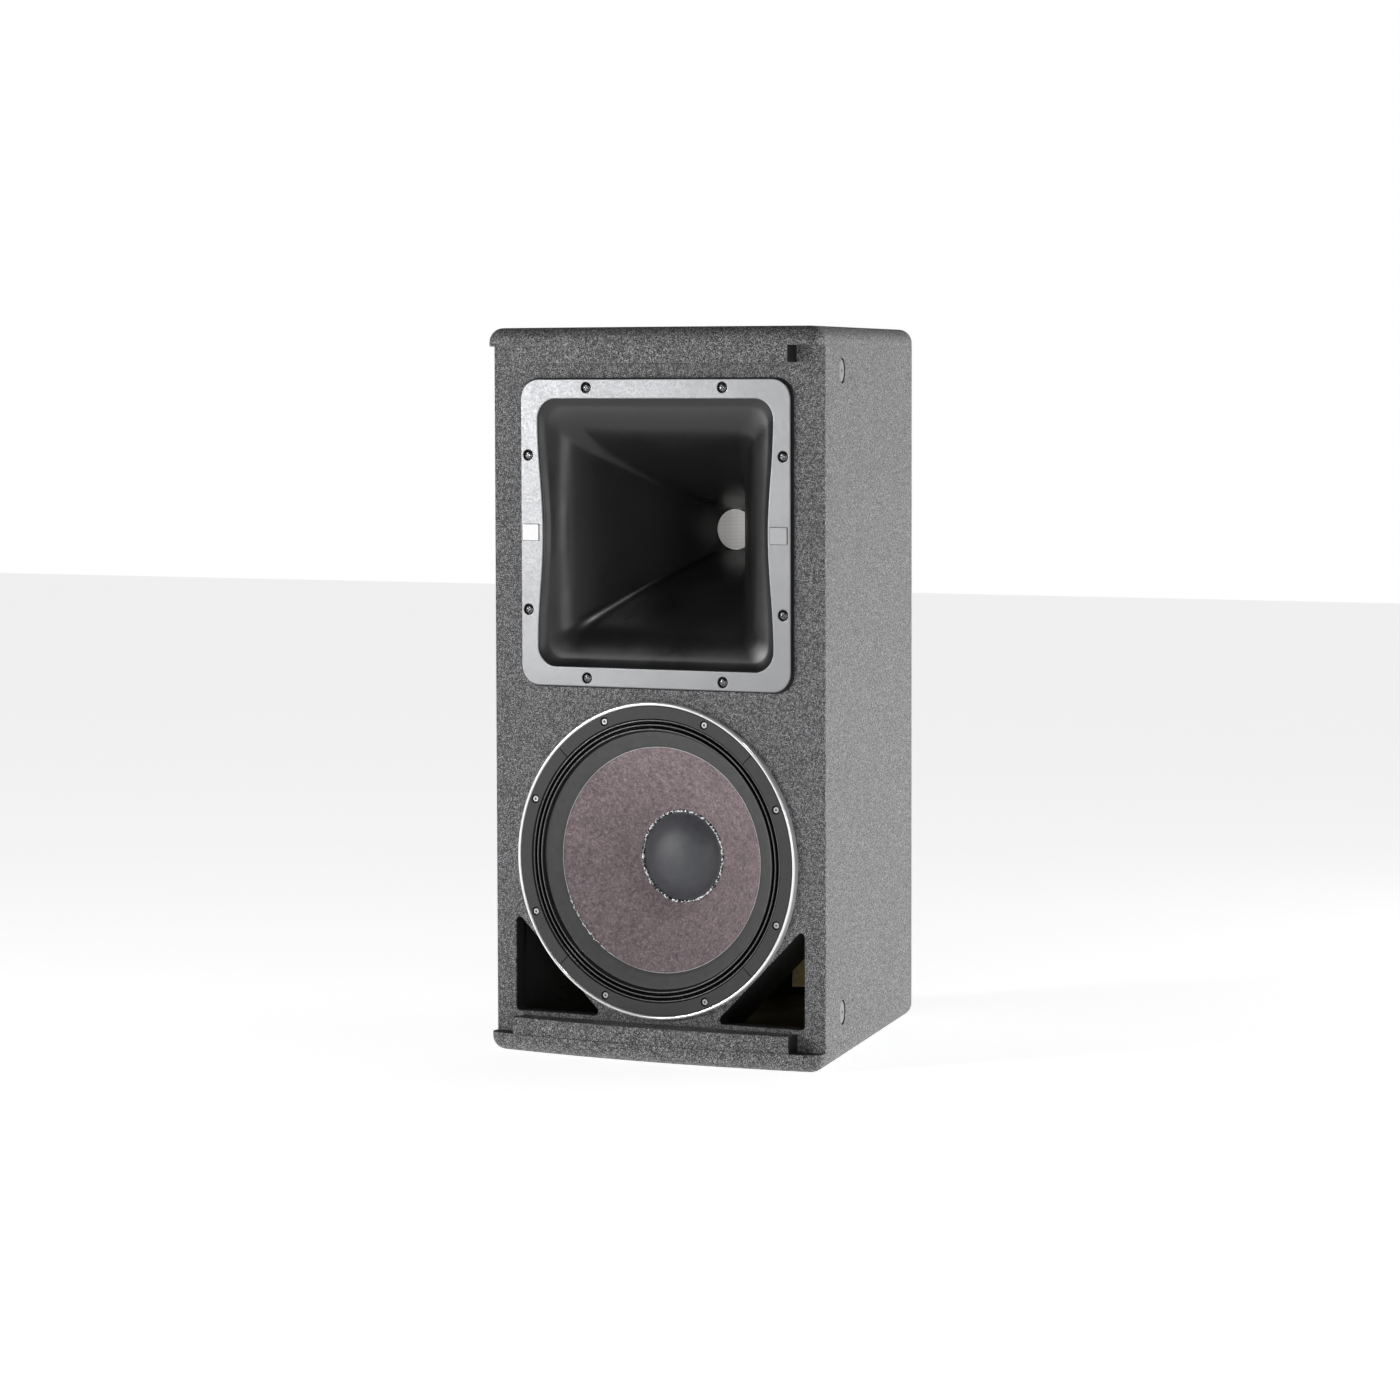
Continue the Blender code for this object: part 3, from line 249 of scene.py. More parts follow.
def plywood(name, colour):
    look = Look(name, colour, 0.72)
    grain = look.noise(60, 5, 0.6, 0.4, look.stretched((1, 0.12, 1)))
    look.paint(look.ramp(grain, (0.3, shade(colour, 0.62)), (0.7, colour)))
    return look.bump(grain, 0.0002, 0.5).material


def moulded(name, colour, roughness, grain=900, depth=0.00006):
    """Injection-moulded plastic with a fine eroded grain."""
    look = Look(name, colour, roughness)
    fine = look.noise(grain, 2, 0.6)
    smudge = look.noise(22, 3, 0.6)
    low, high = max(roughness - 0.07, 0.05), min(roughness + 0.07, 1)
    look.polish(look.ramp(smudge, (0.3, low), (0.7, high)))
    look.paint(look.ramp(smudge, (0.25, shade(colour, 0.78)), (0.75, colour)))
    return look.bump(fine, depth, 0.5).material


def metal(name, colour, roughness, brushed=(1, 1, 1), spread=0.08, metallic=1):
    """Bare or plated metal. brushed stretches its fine marks along the axes."""
    look = Look(name, colour, roughness, metallic)
    marks = look.noise(500, 3, 0.6, 0, look.stretched(brushed))
    haze = look.noise(18, 2, 0.5)
    look.polish(look.ramp(marks, (0.3, max(roughness - spread, 0.04)), (0.7, roughness + spread)))
    look.paint(look.ramp(haze, (0.3, shade(colour, 0.88)), (0.7, colour)))
    return look.bump(marks, 0.00004, 0.5).material


def cloth(name, colour, scale, contrast=0.55, roughness=0.85, depth=0.0003):
    """Woven or felted cloth: fine fibres over a cloudy ground."""
    look = Look(name, colour, roughness)
    ground = look.noise(scale * 0.1, 3, 0.6)
    fibre = look.noise(scale, 3, 0.65)
    tone = look.ramp(fibre, (0.3, shade(colour, contrast)), (0.7, colour))
    look.paint(look.multiply(tone, look.ramp(ground, (0.3, 0.8), (0.7, 1))))
    return look.bump(fibre, depth, 0.7).material


def cone_paper():
    """Pressed pulp, brown-grey with a purple cast, its fibres lying every way."""
    look = Look("cone_paper", (0.2, 0.155, 0.165), 0.8)
    fibre = look.noise(260, 5, 0.7, 1.6)
    streaks = look.noise(120, 4, 0.65, 2.5)
    clouds = look.noise(20, 3, 0.6)
    tone = look.ramp(fibre, (0.34, (0.15, 0.11, 0.119)), (0.5, (0.275, 0.214, 0.228)),
                     (0.66, (0.43, 0.352, 0.367)))
    tone = look.multiply(tone, look.ramp(streaks, (0.36, 0.62), (0.64, 1)))
    look.paint(look.multiply(tone, look.ramp(clouds, (0.3, 0.84), (0.7, 1))))
    return look.bump(fibre, 0.0005, 0.7).bump(streaks, 0.0006, 0.4).material


def glass_wool():
    """Matted yellow fibres, with a faint painted glow: an emission that brightens them though no lamp lights
    them.
    """
    # painted light: a faint emission makes the wool glow
    look = Look("glass_wool", (0.75, 0.62, 0.3), 0.95, Emission_Color=(0.75, 0.6, 0.28),
                Emission_Strength=0.035)
    tufts = look.noise(70, 5, 0.7, 2)
    fibre = look.noise(420, 3, 0.7, 3)
    tone = look.ramp(tufts, (0.3, (0.36, 0.26, 0.1)), (0.5, (0.7, 0.57, 0.27)), (0.7, (0.92, 0.83, 0.55)))
    look.paint(look.multiply(tone, look.ramp(fibre, (0.3, 0.6), (0.65, 1))))
    return look.bump(tufts, 0.004, 0.9).bump(fibre, 0.0012, 0.7).material


def winding(name, colour, scale):
    """Enamelled wire laid side by side."""
    look = Look(name, colour, 0.32, 1)
    turns = look.wave(scale, "Y")
    look.paint(look.ramp(turns, (0, shade(colour, 0.35)), (0.5, colour)))
    return look.bump(turns, 0.0003, 0.8).material


def circuit_board():
    look = Look("circuit_board", (0.05, 0.12, 0.07), 0.35)
    tracks = look.add("TexVoronoi", {"Vector": look.stretched((1, 1, 0.6)), "Scale": 90}, "Distance")
    look.paint(look.ramp(tracks, (0.42, (0.03, 0.09, 0.05)), (0.5, (0.08, 0.19, 0.1))))
    return look.bump(tracks, 0.0001, 0.5).material


def glossy_glue():
    """Dark glue that dried wet-looking, with white spots painted on as glints of reflected light."""
    look = Look("glossy_glue", (0.02, 0.02, 0.02), 0.12, Coat_Weight=0.6, Coat_Roughness=0.05)
    painted_glints = look.noise(330, 3, 0.6, 0.5)
    # painted reflections: white spots stand in for glints of light on the wet-looking glue
    look.paint(look.ramp(painted_glints, (0.49, (0.012, 0.012, 0.013)), (0.56, (0.9, 0.91, 0.93))))
    return look.bump(painted_glints, 0.0012, 0.6).material


def pleat_shaded_cloth():
    """Glossy black cloth pleats, painted lighter on the crests and black between them: painted highlights on
    the crests, painted shade in the valleys.
    """
    look = Look("pleat_shaded_cloth", (0.02, 0.02, 0.021), 0.22)
    spoke = look.vector_math("MULTIPLY_ADD", "Vector", look.coords, (1, 0, 1), (0, 0, -WOOFER.z))
    pitch = (PLEAT_CRESTS[0] - PLEAT_CRESTS[-1]) / (len(PLEAT_CRESTS) - 1)
    away = look.math("SUBTRACT", look.vector_math("LENGTH", "Value", spoke), PLEAT_CRESTS[-1])
    away = look.math("PINGPONG", look.math("DIVIDE", away, pitch / 2), 1)
    fibre = look.noise(900, 2, 0.6)
    # painted light and shade by distance from a crest: highlight on the crests, shade in the valleys
    crest_light_valley_shade = look.ramp(away, (0, (0.16, 0.16, 0.162)), (0.22, (0.07, 0.07, 0.071)), (0.5, 0.003))
    look.paint(look.multiply(crest_light_valley_shade, look.ramp(fibre, (0.35, 0.6), (0.6, 1))))
    return look.bump(fibre, 0.0001, 0.6).material


def gauze():
    """Fine woven wire, its two sets of strands crossing at right angles."""
    look = Look("throat_gauze", (0.75, 0.73, 0.7), 0.5)
    weave = look.math("MAXIMUM", look.wave(230, "X"), look.wave(230, "Z"))
    look.paint(look.ramp(weave, (0.35, (0.5, 0.485, 0.47)), (0.9, (0.88, 0.86, 0.83))))
    return look.bump(weave, 0.0002, 0.6).material


def clear_plastic():
    look = Look("clear_plastic", (0.8, 0.82, 0.85), 0.12, Alpha=0.35, IOR=1.45)
    haze = look.noise(60, 3, 0.6)
    look.polish(look.ramp(haze, (0.3, 0.06), (0.7, 0.2)))
    return look.bump(haze, 0.0001, 0.3).material


PAINT = speckled_paint()
FLY_PAINT = moulded("painted_insert", (0.3, 0.3, 0.305), 0.5, 600, 0.0002)
# black paint inside the cabinet, also used as painted shade on outer faces that lie in shade
BLACK_PAINT_AND_SHADE = moulded("black_paint_and_painted_shade", (0.014, 0.014, 0.014), 0.6, 400, 0.0004)
HORN_BLACK = moulded("horn_satin", (0.012, 0.012, 0.0125), 0.34, 700, 0.00001)
BLUE_GREY = moulded("blue_grey_core", (0.1, 0.14, 0.2), 0.4)
BRASS = metal("nickelled_brass", (0.72, 0.66, 0.5), 0.25)
SCREW_STEEL = metal("socket_screw_steel", (0.42, 0.42, 0.425), 0.34, metallic=0.6)
# white glue, also the painted glint along the cone's edge
WHITE_GLUE_AND_GLINT = moulded("white_glue_and_painted_glint", (0.8, 0.79, 0.78), 0.25, 400, 0.0001)
BLACK_SATIN = moulded("black_satin_plastic", (0.013, 0.013, 0.0135), 0.34)
BLACK_MATT = moulded("black_matt_plastic", (0.018, 0.018, 0.019), 0.5)
BEZEL = metal("satin_silver", (0.185, 0.187, 0.192), 0.38, spread=0.05, metallic=0.7)
FOAM = cloth("black_foam", (0.022, 0.022, 0.022), 900)
BLACK_STEEL = metal("black_oxide_steel", (0.11, 0.11, 0.113), 0.28)
CHROME = metal("bright_turned_aluminium", (0.95, 0.95, 0.96), 0.16, (0.2, 8, 0.2), 0.04, 0.45)
CASTING = moulded("dark_casting", (0.025, 0.025, 0.026), 0.45, 500, 0.0002)
GASKET = cloth("black_gasket_board", (0.034, 0.034, 0.035), 700, 0.6, 0.6, 0.0002)
SURROUND = pleat_shaded_cloth()
LANDING = cloth("grey_coated_cloth", (0.072, 0.072, 0.073), 1100, 0.75, 0.6, 0.0002)
CONE = cone_paper()
DOME = cloth("dust_cap_cloth", (0.074, 0.076, 0.086), 1300, 0.75, 0.48, 0.0001)
GLUE = glossy_glue()
WOOL = glass_wool()
SCREEN = gauze()
ZINC = metal("zinc_plate", (0.62, 0.62, 0.63), 0.3)
FERRITE = moulded("ferrite", (0.045, 0.045, 0.047), 0.55, 500, 0.0002)
TITANIUM = metal("thin_titanium", (0.55, 0.54, 0.52), 0.3)
COPPER = winding("copper_winding", (0.75, 0.38, 0.2), 180)
BOARD = circuit_board()
COMPONENT = moulded("component_case", (0.16, 0.09, 0.035), 0.3)
SPIDER = cloth("resin_cloth", (0.55, 0.4, 0.17), 800)
WIRE = moulded("wire_sleeve", (0.24, 0.018, 0.018), 0.4)
CLEAR = clear_plastic()
LABEL_WHITE = moulded("label_white", (0.78, 0.78, 0.79), 0.3, 300)
LABEL_GREY = moulded("label_grey", (0.42, 0.43, 0.44), 0.35, 300)
BARE_WOOD = plywood("bare_plywood", (0.6, 0.44, 0.27))


# ---- outlines


def circle(radius, count, centre=(0, 0)):
    angles = [2 * pi * i / count for i in range(count)]
    return [(centre[0] + radius * cos(a), centre[1] + radius * sin(a)) for a in angles]


def rounded(corners, steps=8):
    """An outline from (x, y, radius) corners. A radius of 0 keeps the corner as one point."""
    points = []
    for i, (x, y, radius) in enumerate(corners):
        if radius == 0:
            points.append((x, y))
            continue
        corner = Vector((x, y))
        before = (Vector(corners[i - 1][:2]) - corner).normalized()
        after = (Vector(corners[(i + 1) % len(corners)][:2]) - corner).normalized()
        half_angle = before.angle(after) / 2
        centre = corner + (before + after).normalized() * (radius / sin(half_angle))
        reach = radius / tan(half_angle)
        first, last = (corner + way * reach - centre for way in (before, after))
        sweep = first.angle_signed(last)
        for k in range(steps + 1):
            spoke = first.copy()
            spoke.rotate(Matrix.Rotation(-sweep * k / steps, 2))
            points.append(tuple(centre + spoke))
    return points


def rounded_box(half_x, half_y, radius, steps=8, centre=(0, 0)):
    cx, cy = centre
    signs = ((1, -1), (1, 1), (-1, 1), (-1, -1))
    return rounded([(cx + sx * half_x, cy + sy * half_y, radius) for sx, sy in signs], steps)


def inset(outline, distance):
    """The outline moved in towards its middle along its own normals."""
    points = [Vector(p) for p in outline]
    area = sum(a.x * b.y - a.y * b.x for a, b in zip(points, points[1:] + points[:1]))
    turn = copysign(1, area)
    moved = []
    for before, here, after in zip(points[-1:] + points[:-1], points, points[1:] + points[:1]):
        a, b = (here - before).normalized(), (after - here).normalized()
        normal_a, normal_b = Vector((-a.y, a.x)) * turn, Vector((-b.y, b.x)) * turn
        moved.append(here + (normal_a + normal_b) * (distance / (1 + normal_a.dot(normal_b))))
    return moved


def side_x(y, behind=0):
    """x of the right side's outer face at depth y, or of a face parallel to it and behind it."""
    return HALF_WIDTH - LEAN * y - behind / cos(TAPER)


def lip_y(x):
    """y of the lips' bowed front at x."""
    return LIP_RADIUS - sqrt(LIP_RADIUS**2 - x * x) - LIP


def smooth_line(points, per_span=6):
    """Points along a Catmull-Rom curve through the given points."""
    knots = [Vector(p) for p in points]
    knots = [knots[0] * 2 - knots[1], *knots, knots[-1] * 2 - knots[-2]]
    line = []
    for a, b, c, d in zip(knots, knots[1:], knots[2:], knots[3:]):
        for k in range(per_span):
            t = k / per_span
            square, cube = 2 * a - 5 * b + 4 * c - d, 3 * b - a - 3 * c + d
            line.append(0.5 * (2 * b + (c - a) * t + square * t * t + cube * t**3))
    line.append(knots[-2])
    return line


# ---- shapes


def band(work, a, b):
    """Joins two rings of vertices by a band of faces."""
    for i in range(len(a)):
        j = (i + 1) % len(a)
        work.faces.new((a[i], a[j], b[j], b[i]))


def skin(rings, loop=False, caps=False):
    """Joins rings of equal length. loop joins the last to the first, caps closes both ends."""
    work = bmesh.new()
    rows = [[work.verts.new(point) for point in ring] for ring in rings]
    for a, b in zip(rows, rows[1:] + rows[:1] if loop else rows[1:]):
        band(work, a, b)
    if caps:
        work.faces.new(rows[0])
        work.faces.new(rows[-1])
    return work


def lathe(profile, steps=ROUND_STEPS, loop=False):
    """Turns (radius, depth) points about the y axis. Ends on the axis close up when welded."""
    angles = [2 * pi * i / steps for i in range(steps)]
    return skin([[(r * cos(a), depth, r * sin(a)) for a in angles] for r, depth in profile], loop)


def edge_line(low, high, front, back, steps):
    """(inset, depth) from a plate's front to its back, with a quarter round at either end."""
    turns = [pi / 2 * k / steps for k in range(steps + 1)]
    line = [(0, low)]
    if front:
        line = [(front + EDGE_FLAT, low)]
        line += [(front * (1 - sin(a)), low + front * (1 - cos(a))) for a in turns]
    if back:
        line += [(back * (1 - cos(a)), high - back * (1 - sin(a))) for a in turns]
        return [*line, (back + EDGE_FLAT, high)]
    return [*line, (0, high)]


def slab(outlines, low, high, front=0, back=0, steps=4, level=False):
    """A plate between two depths, or two heights if level. Outlines after the first are holes.

    front and back are the radii of its rounded edges, as one number or as one for each outline.
    """
    work = bmesh.new()
    fronts, backs = (r if isinstance(r, (list, tuple)) else [r] * len(outlines) for r in (front, back))
    caps = ([], [])
    for index, outline in enumerate(outlines):
        rows = []
        for away, depth in edge_line(low, high, fronts[index], backs[index], steps):
            ring = inset(outline, -away if index else away) if away else outline
            rows.append([work.verts.new((u, v, depth) if level else (u, depth, v)) for u, v in ring])
        for a, b in zip(rows, rows[1:]):
            band(work, a, b)
        caps[0].append(rows[0])
        caps[1].append(rows[-1])
    for cap in caps:
        flat = [vert for row in cap for vert in row]
        flattened = [[Vector((v.co.x, v.co.y if level else v.co.z, 0)) for v in row] for row in cap]
        for triangle in tessellate_polygon(flattened):
            work.faces.new([flat[i] for i in triangle])
    return work


def solid_object(work):
    """A mesh object from a bmesh, which it uses up."""
    mesh = bpy.data.meshes.new("work")
    bmesh.ops.remove_doubles(work, verts=work.verts, dist=1e-6)
    bmesh.ops.recalc_face_normals(work, faces=work.faces)
    work.to_mesh(mesh)
    work.free()
    obj = bpy.data.objects.new("work", mesh)
    bpy.context.scene.collection.objects.link(obj)
    return obj


def carve(work, *cutters):
    """Takes the cutters out of a solid. Uses up all of them and returns a new bmesh."""
    body = solid_object(work)
    tools = [solid_object(cutter) for cutter in cutters]
    for tool in tools:
        boolean = body.modifiers.new("cut", "BOOLEAN")
        boolean.operation = "DIFFERENCE"
        boolean.solver = "EXACT"
        boolean.object = tool
    evaluated = body.evaluated_get(bpy.context.evaluated_depsgraph_get())
    result = bmesh.new()
    result.from_mesh(evaluated.to_mesh())
    evaluated.to_mesh_clear()
    for obj in (body, *tools):
        bpy.data.meshes.remove(obj.data)
    return result


def moved(work, place=(0, 0, 0), turn=Matrix()):
    bmesh.ops.transform(work, matrix=Matrix.Translation(place) @ turn, verts=work.verts)
    return work


def bores(profile, steps, places, y=0):
    """The same bore at every (x, z) place."""
    return [moved(lathe(profile, steps), (x, y, z)) for x, z in places]


def spokes(outline, low, high, angles):
    """One slab for each angle, turned about the y axis by it."""
    return [moved(slab([outline], low, high), turn=about_y(angle)) for angle in angles]


def joined(*works):
    """Several solids in one bmesh."""
    whole = bmesh.new()
    for work in works:
        mesh = bpy.data.meshes.new("join")
        work.to_mesh(mesh)
        work.free()
        whole.from_mesh(mesh)
        bpy.data.meshes.remove(mesh)
    return whole


def piece(name, work, look, node=None, place=FRONT, turn=Matrix(), body="cabinet", crease=35):
    """Finishes a piece: its mesh in the frame's own coordinates, its finish and its body."""
    obj = solid_object(moved(work, place, turn))
    obj.name = obj.data.name = name
    obj.data.materials.append(look)
    obj.data.shade_smooth()
    obj.data.set_sharp_from_angle(angle=radians(crease))
    if body:
        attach(obj, body)
    if node:
        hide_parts(node)
    return obj


def blacken_paint_and_shade(obj, test):
    """Gives a dull black to the faces whose middle passes the test: the cabinet's black inside, and painted
    shade on outer faces that lie in shade.
    """
    obj.data.materials.append(BLACK_PAINT_AND_SHADE)
    for face in obj.data.polygons:
        if test(face.center, face.normal):
            face.material_index = 1


def painted(name, work, node, inside_and_shaded):
    """A wooden piece, painted except on its faces inside the cabinet and on those given painted shade."""
    blacken_paint_and_shade(piece(name, work, PAINT, node), inside_and_shaded)


def roughen(work, amount, scale, seed=0):
    """Pushes every vertex along its normal by smooth noise."""
    work.normal_update()
    shift = Vector((seed, seed * 0.7, seed * 1.3))
    for vert in work.verts:
        vert.co += vert.normal * (noise.fractal(vert.co * scale + shift, 1, 2, 3) * amount)
    return work


# ---- cabinet


def bowed_front(half, count, set_back=0):
    """Points along the lips' bowed front, or along a line behind it."""
    xs = [half * (2 * i / count - 1) for i in range(count + 1)]
    return [(x, lip_y(x) + set_back) for x in xs]


def make_panels():
    """Top and bottom: tapered plan, bowed lip, and a quarter round along the outer edge."""
    depth, front = BACK - FACE, lip_y(HALF_WIDTH)
    half_front, half_back = side_x(front), side_x(depth)
    arc = [(x, y, 0) for x, y in bowed_front(half_front * 0.9, 32)]
    corners = [(-half_front, front, PLAN_CORNER), *arc, (half_front, front, PLAN_CORNER),
               (half_back, depth, PLAN_CORNER), (-half_back, depth, PLAN_CORNER)]
    outline = rounded(corners, 10)
    top = slab([outline], TOP - PANEL, TOP, FINE_EDGE, EDGE_ROUND, 8, level=True)
    bottom = slab([outline], 0, PANEL, EDGE_ROUND, FINE_EDGE, 8, level=True)
    for word, panel, inward in (("top", top, -1), ("bottom", bottom, 1)):
        # inward faces are black; on the top panel this takes in the lip's underside, painted shade under the
        # overhang
        painted(f"cabinet_{word}", panel, f"{word}_panel", lambda centre, normal: normal.z * inward > 0.9)


def make_sides():
    depth, y = BACK - FACE, FLY_ALONG * cos(TAPER)
    corners = [(side_x(0, SIDE_THICK), 0, 0), (side_x(0), 0, 0.002),
               (side_x(depth), depth, PLAN_CORNER), (side_x(depth, SIDE_THICK), depth, 0)]
    bore = [(0, -0.002), (0.0128, -0.002), (0.0124, 0), (0.0124, 0.0035), (0.0073, 0.0035),
            (0.0073, 0.02), (0, 0.02)]
    for side, word in ((-1, "left"), (1, "right")):
        outline = [(side * x, y) for x, y in rounded(corners, 10)]
        turn = Matrix.Rotation(side * (pi / 2 + TAPER), 4, "Z")
        points = {name: Vector((side * side_x(y), y, middle(f"fly_point_{name}").z))
                  for name in (f"{word}_low", f"{word}_high")}
        holes = [moved(lathe(bore, 48), place, turn) for place in points.values()]
        wall = carve(slab([outline], PANEL, TOP - PANEL, level=True), *holes)

        def inside_and_shaded(centre, normal):
            """Faces inside the cabinet, and the walls of the two bores, black as painted shade in the
            recesses.
            """
            near = min((centre - FRONT - place).length for place in points.values())
            return normal.x * side < -0.5 or near < 0.0127 and abs(normal.z) + abs(normal.y) > 0.45

        painted(f"cabinet_{word}", wall, f"{word}_side", inside_and_shaded)
        for name, place in points.items():
            make_fly_point(name, FRONT + place, turn)


def make_fly_point(name, centre, turn):
    """A flanged insert, painted over with the cabinet, and a hex socket in its middle."""
    cap = lathe([(0, 0.0005), (0.006, 0.0005), (0.01, 0.0006), (0.0107, 0.0009), (0.011, 0.0014),
                 (0.011, 0.0032), (0.0069, 0.0032), (0.0069, 0.0175), (0, 0.0175)], 48)
    groove = lathe([(0.0052, -0.001), (0.0056, -0.001), (0.0056, 0.0009), (0.0052, 0.0009)], 48, loop=True)
    cap = carve(cap, slab([circle(0.0021, 6)], -0.001, 0.0034), groove)
    cap = piece(f"fly_insert_{name}", cap, FLY_PAINT, f"fly_point_{name}", centre, turn)
    axis = (turn @ Vector((0, 1, 0))).normalized()

    def inside_and_shaded(spot, normal):
        """Faces deep in the bore, and the walls of the hex socket: painted shade in the recesses."""
        away = (spot - centre).length
        return away > 0.012 or away < 0.0045 and abs(normal.dot(axis)) < 0.3

    blacken_paint_and_shade(cap, inside_and_shaded)


def port_outline(side):
    outer, bottom, leg = PORT_OUTER_X, PORT_BOTTOM_Z, PORT_LEG
    corners = [(outer, bottom), (outer, bottom + leg), (outer - leg, bottom)]
    return rounded([(side * x, z, PORT_CORNER) for x, z in corners], 8)


def board(name, half, holes, low, high, rounds, slant, node, inside_and_shaded):
    """A board between the sides, its two upright edges slanted to follow them."""
    outline = [(-half, PANEL), (half, PANEL), (half, TOP - PANEL), (-half, TOP - PANEL)]
    work = slab([outline, *holes], low, high, rounds)
    for vert in work.verts:
        if abs(vert.co.x) > half - 1e-4 and vert.co.y > (low + high) / 2:
            vert.co.x -= copysign(slant, vert.co.x)
    painted(name, work, node, inside_and_shaded)


def make_baffle():
    holes = [rounded_box(0.1357, 0.1357, 0.014, 6, (0, HORN.z)), circle(0.14, 96, (0, WOOFER.z)),
             port_outline(-1), port_outline(1)]
    # faces behind the front are black: the back, and the walls of the ports and cut-outs, where the black is
    # painted shade in the ports
    board("front_baffle", side_x(0, SIDE_THICK), holes, 0, BAFFLE_THICK, (0, 0, 0, 0.0014, 0.0014),
          LEAN * BAFFLE_THICK, "baffle", lambda centre, normal: centre.y > FACE + 0.0012)


def make_back():
    low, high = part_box("back_panel")
    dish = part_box("input_dish")[1]
    hole = rounded_box(dish.x - 0.005, dish.z - DISH.z - 0.005, 0.006, 6, (0, DISH.z))
    board("rear_board", high.x, [hole], low.y - FACE, high.y - FACE, 0, LEAN * (high.y - low.y) - 0.0004,
          "back_panel", lambda centre, normal: normal.y < -0.9)


def make_battens():
    for word in ("top", "bottom"):
        low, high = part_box(f"{word}_batten")
        outline = [*bowed_front(high.x, 24, low.y - FACE + LIP), (high.x, 0), (low.x, 0)]
        if word == "top":
            strip = slab([outline], low.z, TOP - PANEL, 0.0009, 0, 3, level=True)
        else:
            strip = slab([outline], PANEL, high.z, 0, 0.0009, 3, level=True)
        # the battens' end faces are black: painted shade under the lips
        painted(f"{word}_batten_strip", strip, f"{word}_batten", lambda centre, normal: abs(normal.x) > 0.9)


def make_wool():
    """Matted pads with soft lumpy faces, in the places that the solids hold."""
    for name in ("left_damping", "right_damping", "rear_damping"):
        low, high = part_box(name)
        size, centre = high - low, middle(name)
        pad = bmesh.new()
        bmesh.ops.create_cube(pad, size=1)
        for cuts in (4, round(max(size) / WOOL_CELL) // 12):
            bmesh.ops.subdivide_edges(pad, edges=pad.edges, cuts=cuts, use_grid_fill=True)
        rear = name == "rear_damping"
        slant = 0 if rear else copysign(LEAN, -centre.x)
        stretch = Vector((size.x - abs(slant) * size.y, size.y, size.z))
        for vert in pad.verts:
            u = vert.co
            across = u.x if rear else u.y
            puff = 0.55 + 0.45 * (1 - (2 * across) ** 6) * (1 - (2 * u.z) ** 6)
            spot = stretch * u
            spot[1 if rear else 0] *= puff
            spot.x += slant * spot.y
            vert.co = centre + spot
        roughen(pad, 0.0016, 60, 3)
        piece(f"{name}_wool", pad, WOOL, name, (0, 0, 0), crease=80)


# ---- horn


def mouth_outline(half, corner, bow, arc_steps, side_steps):
    """A rounded square whose two upright edges curve in by bow at mid-height."""
    points = []
    flat, quarter = half - corner, pi / 2
    for q, (sx, sz) in enumerate(((1, -1), (1, 1), (-1, 1), (-1, -1))):
        for k in range(arc_steps + 1):
            angle = -quarter + q * quarter + quarter * k / arc_steps
            points.append((sx * flat + corner * cos(angle), sz * flat + corner * sin(angle)))
        for k in range(1, side_steps):
            t = 2 * k / side_steps - 1
            rise = 0.5 + 0.5 * cos(pi * t)
            level = (-t * flat * sx, sz * half)
            points.append(level if q % 2 else (sx * (half - bow * rise), t * flat * -sz))
    return points


def round_ring(depth, radius):
    """A circle with its points in step with those of the square rings."""
    step = pi / 2 / (RING_ARC + RING_SIDE)
    first = -pi / 4 - step * RING_ARC / 2
    angles = [first + step * i for i in range(4 * (RING_ARC + RING_SIDE))]
    return [(radius * cos(a), depth, radius * sin(a)) for a in angles]


def square_ring(depth, half, corner, bow=0):
    return [(x, depth, z) for x, z in mouth_outline(half, corner, bow, RING_ARC, RING_SIDE)]


def horn_ring(depth, half, grow=0):
    """The horn's inside at one depth, or a skin outside it: square at the mouth, round at the throat."""
    openness = (half - THROAT_RADIUS) / (MOUTH_HALF - THROAT_RADIUS)
    corner = THROAT_CORNER + (MOUTH_CORNER - THROAT_CORNER) * openness**1.3
    square = square_ring(depth, half + grow, corner + grow, MOUTH_BOW * max(0, openness * 4 - 3))
    if depth <= SQUARE_END:
        return square
    t = (depth - SQUARE_END) / (THROAT_DEPTH - SQUARE_END)
    return [Vector(a).lerp(Vector(b), t * t) for a, b in zip(square, round_ring(depth, half + grow))]


def make_waveguide():
    half, fine = BEZEL_HALF - 0.0002, 0.0003
    inside = smooth_line(HORN_LINE, 4)
    outside = [point for point in reversed(HORN_LINE) if 0.002 < point[0] < 0.155]
    rings = [
        square_ring(FLANGE_BACK, half, BEZEL_CORNER),
        square_ring(FLANGE_FRONT + fine, half, BEZEL_CORNER),
        square_ring(FLANGE_FRONT, half - fine, BEZEL_CORNER),
        horn_ring(FLANGE_FRONT, MOUTH_HALF, 0.0012),
        horn_ring(FLANGE_FRONT + fine, MOUTH_HALF, 0.0002),
        horn_ring(FLANGE_FRONT + 0.0011, MOUTH_HALF - 0.0009),
        *[horn_ring(depth, width) for depth, width in inside],
        round_ring(THROAT_DEPTH, THROAT_PLATE),
        round_ring(THROAT_DEPTH - 0.008, THROAT_PLATE),
        *[horn_ring(depth, width, HORN_WALL) for depth, width in outside],
        horn_ring(FLANGE_BACK, MOUTH_HALF, HORN_WALL),
    ]
    bore = [(0, -0.01), (0.0052, -0.01), (0.0052, -0.0026), (0.0027, -0.0026), (0.0027, 0.01), (0, 0.01)]
    horn = carve(skin(rings, loop=True), *bores(bore, 24, HORN_SCREWS))
    piece("horn_waveguide", horn, HORN_BLACK, "waveguide", HORN, crease=40)


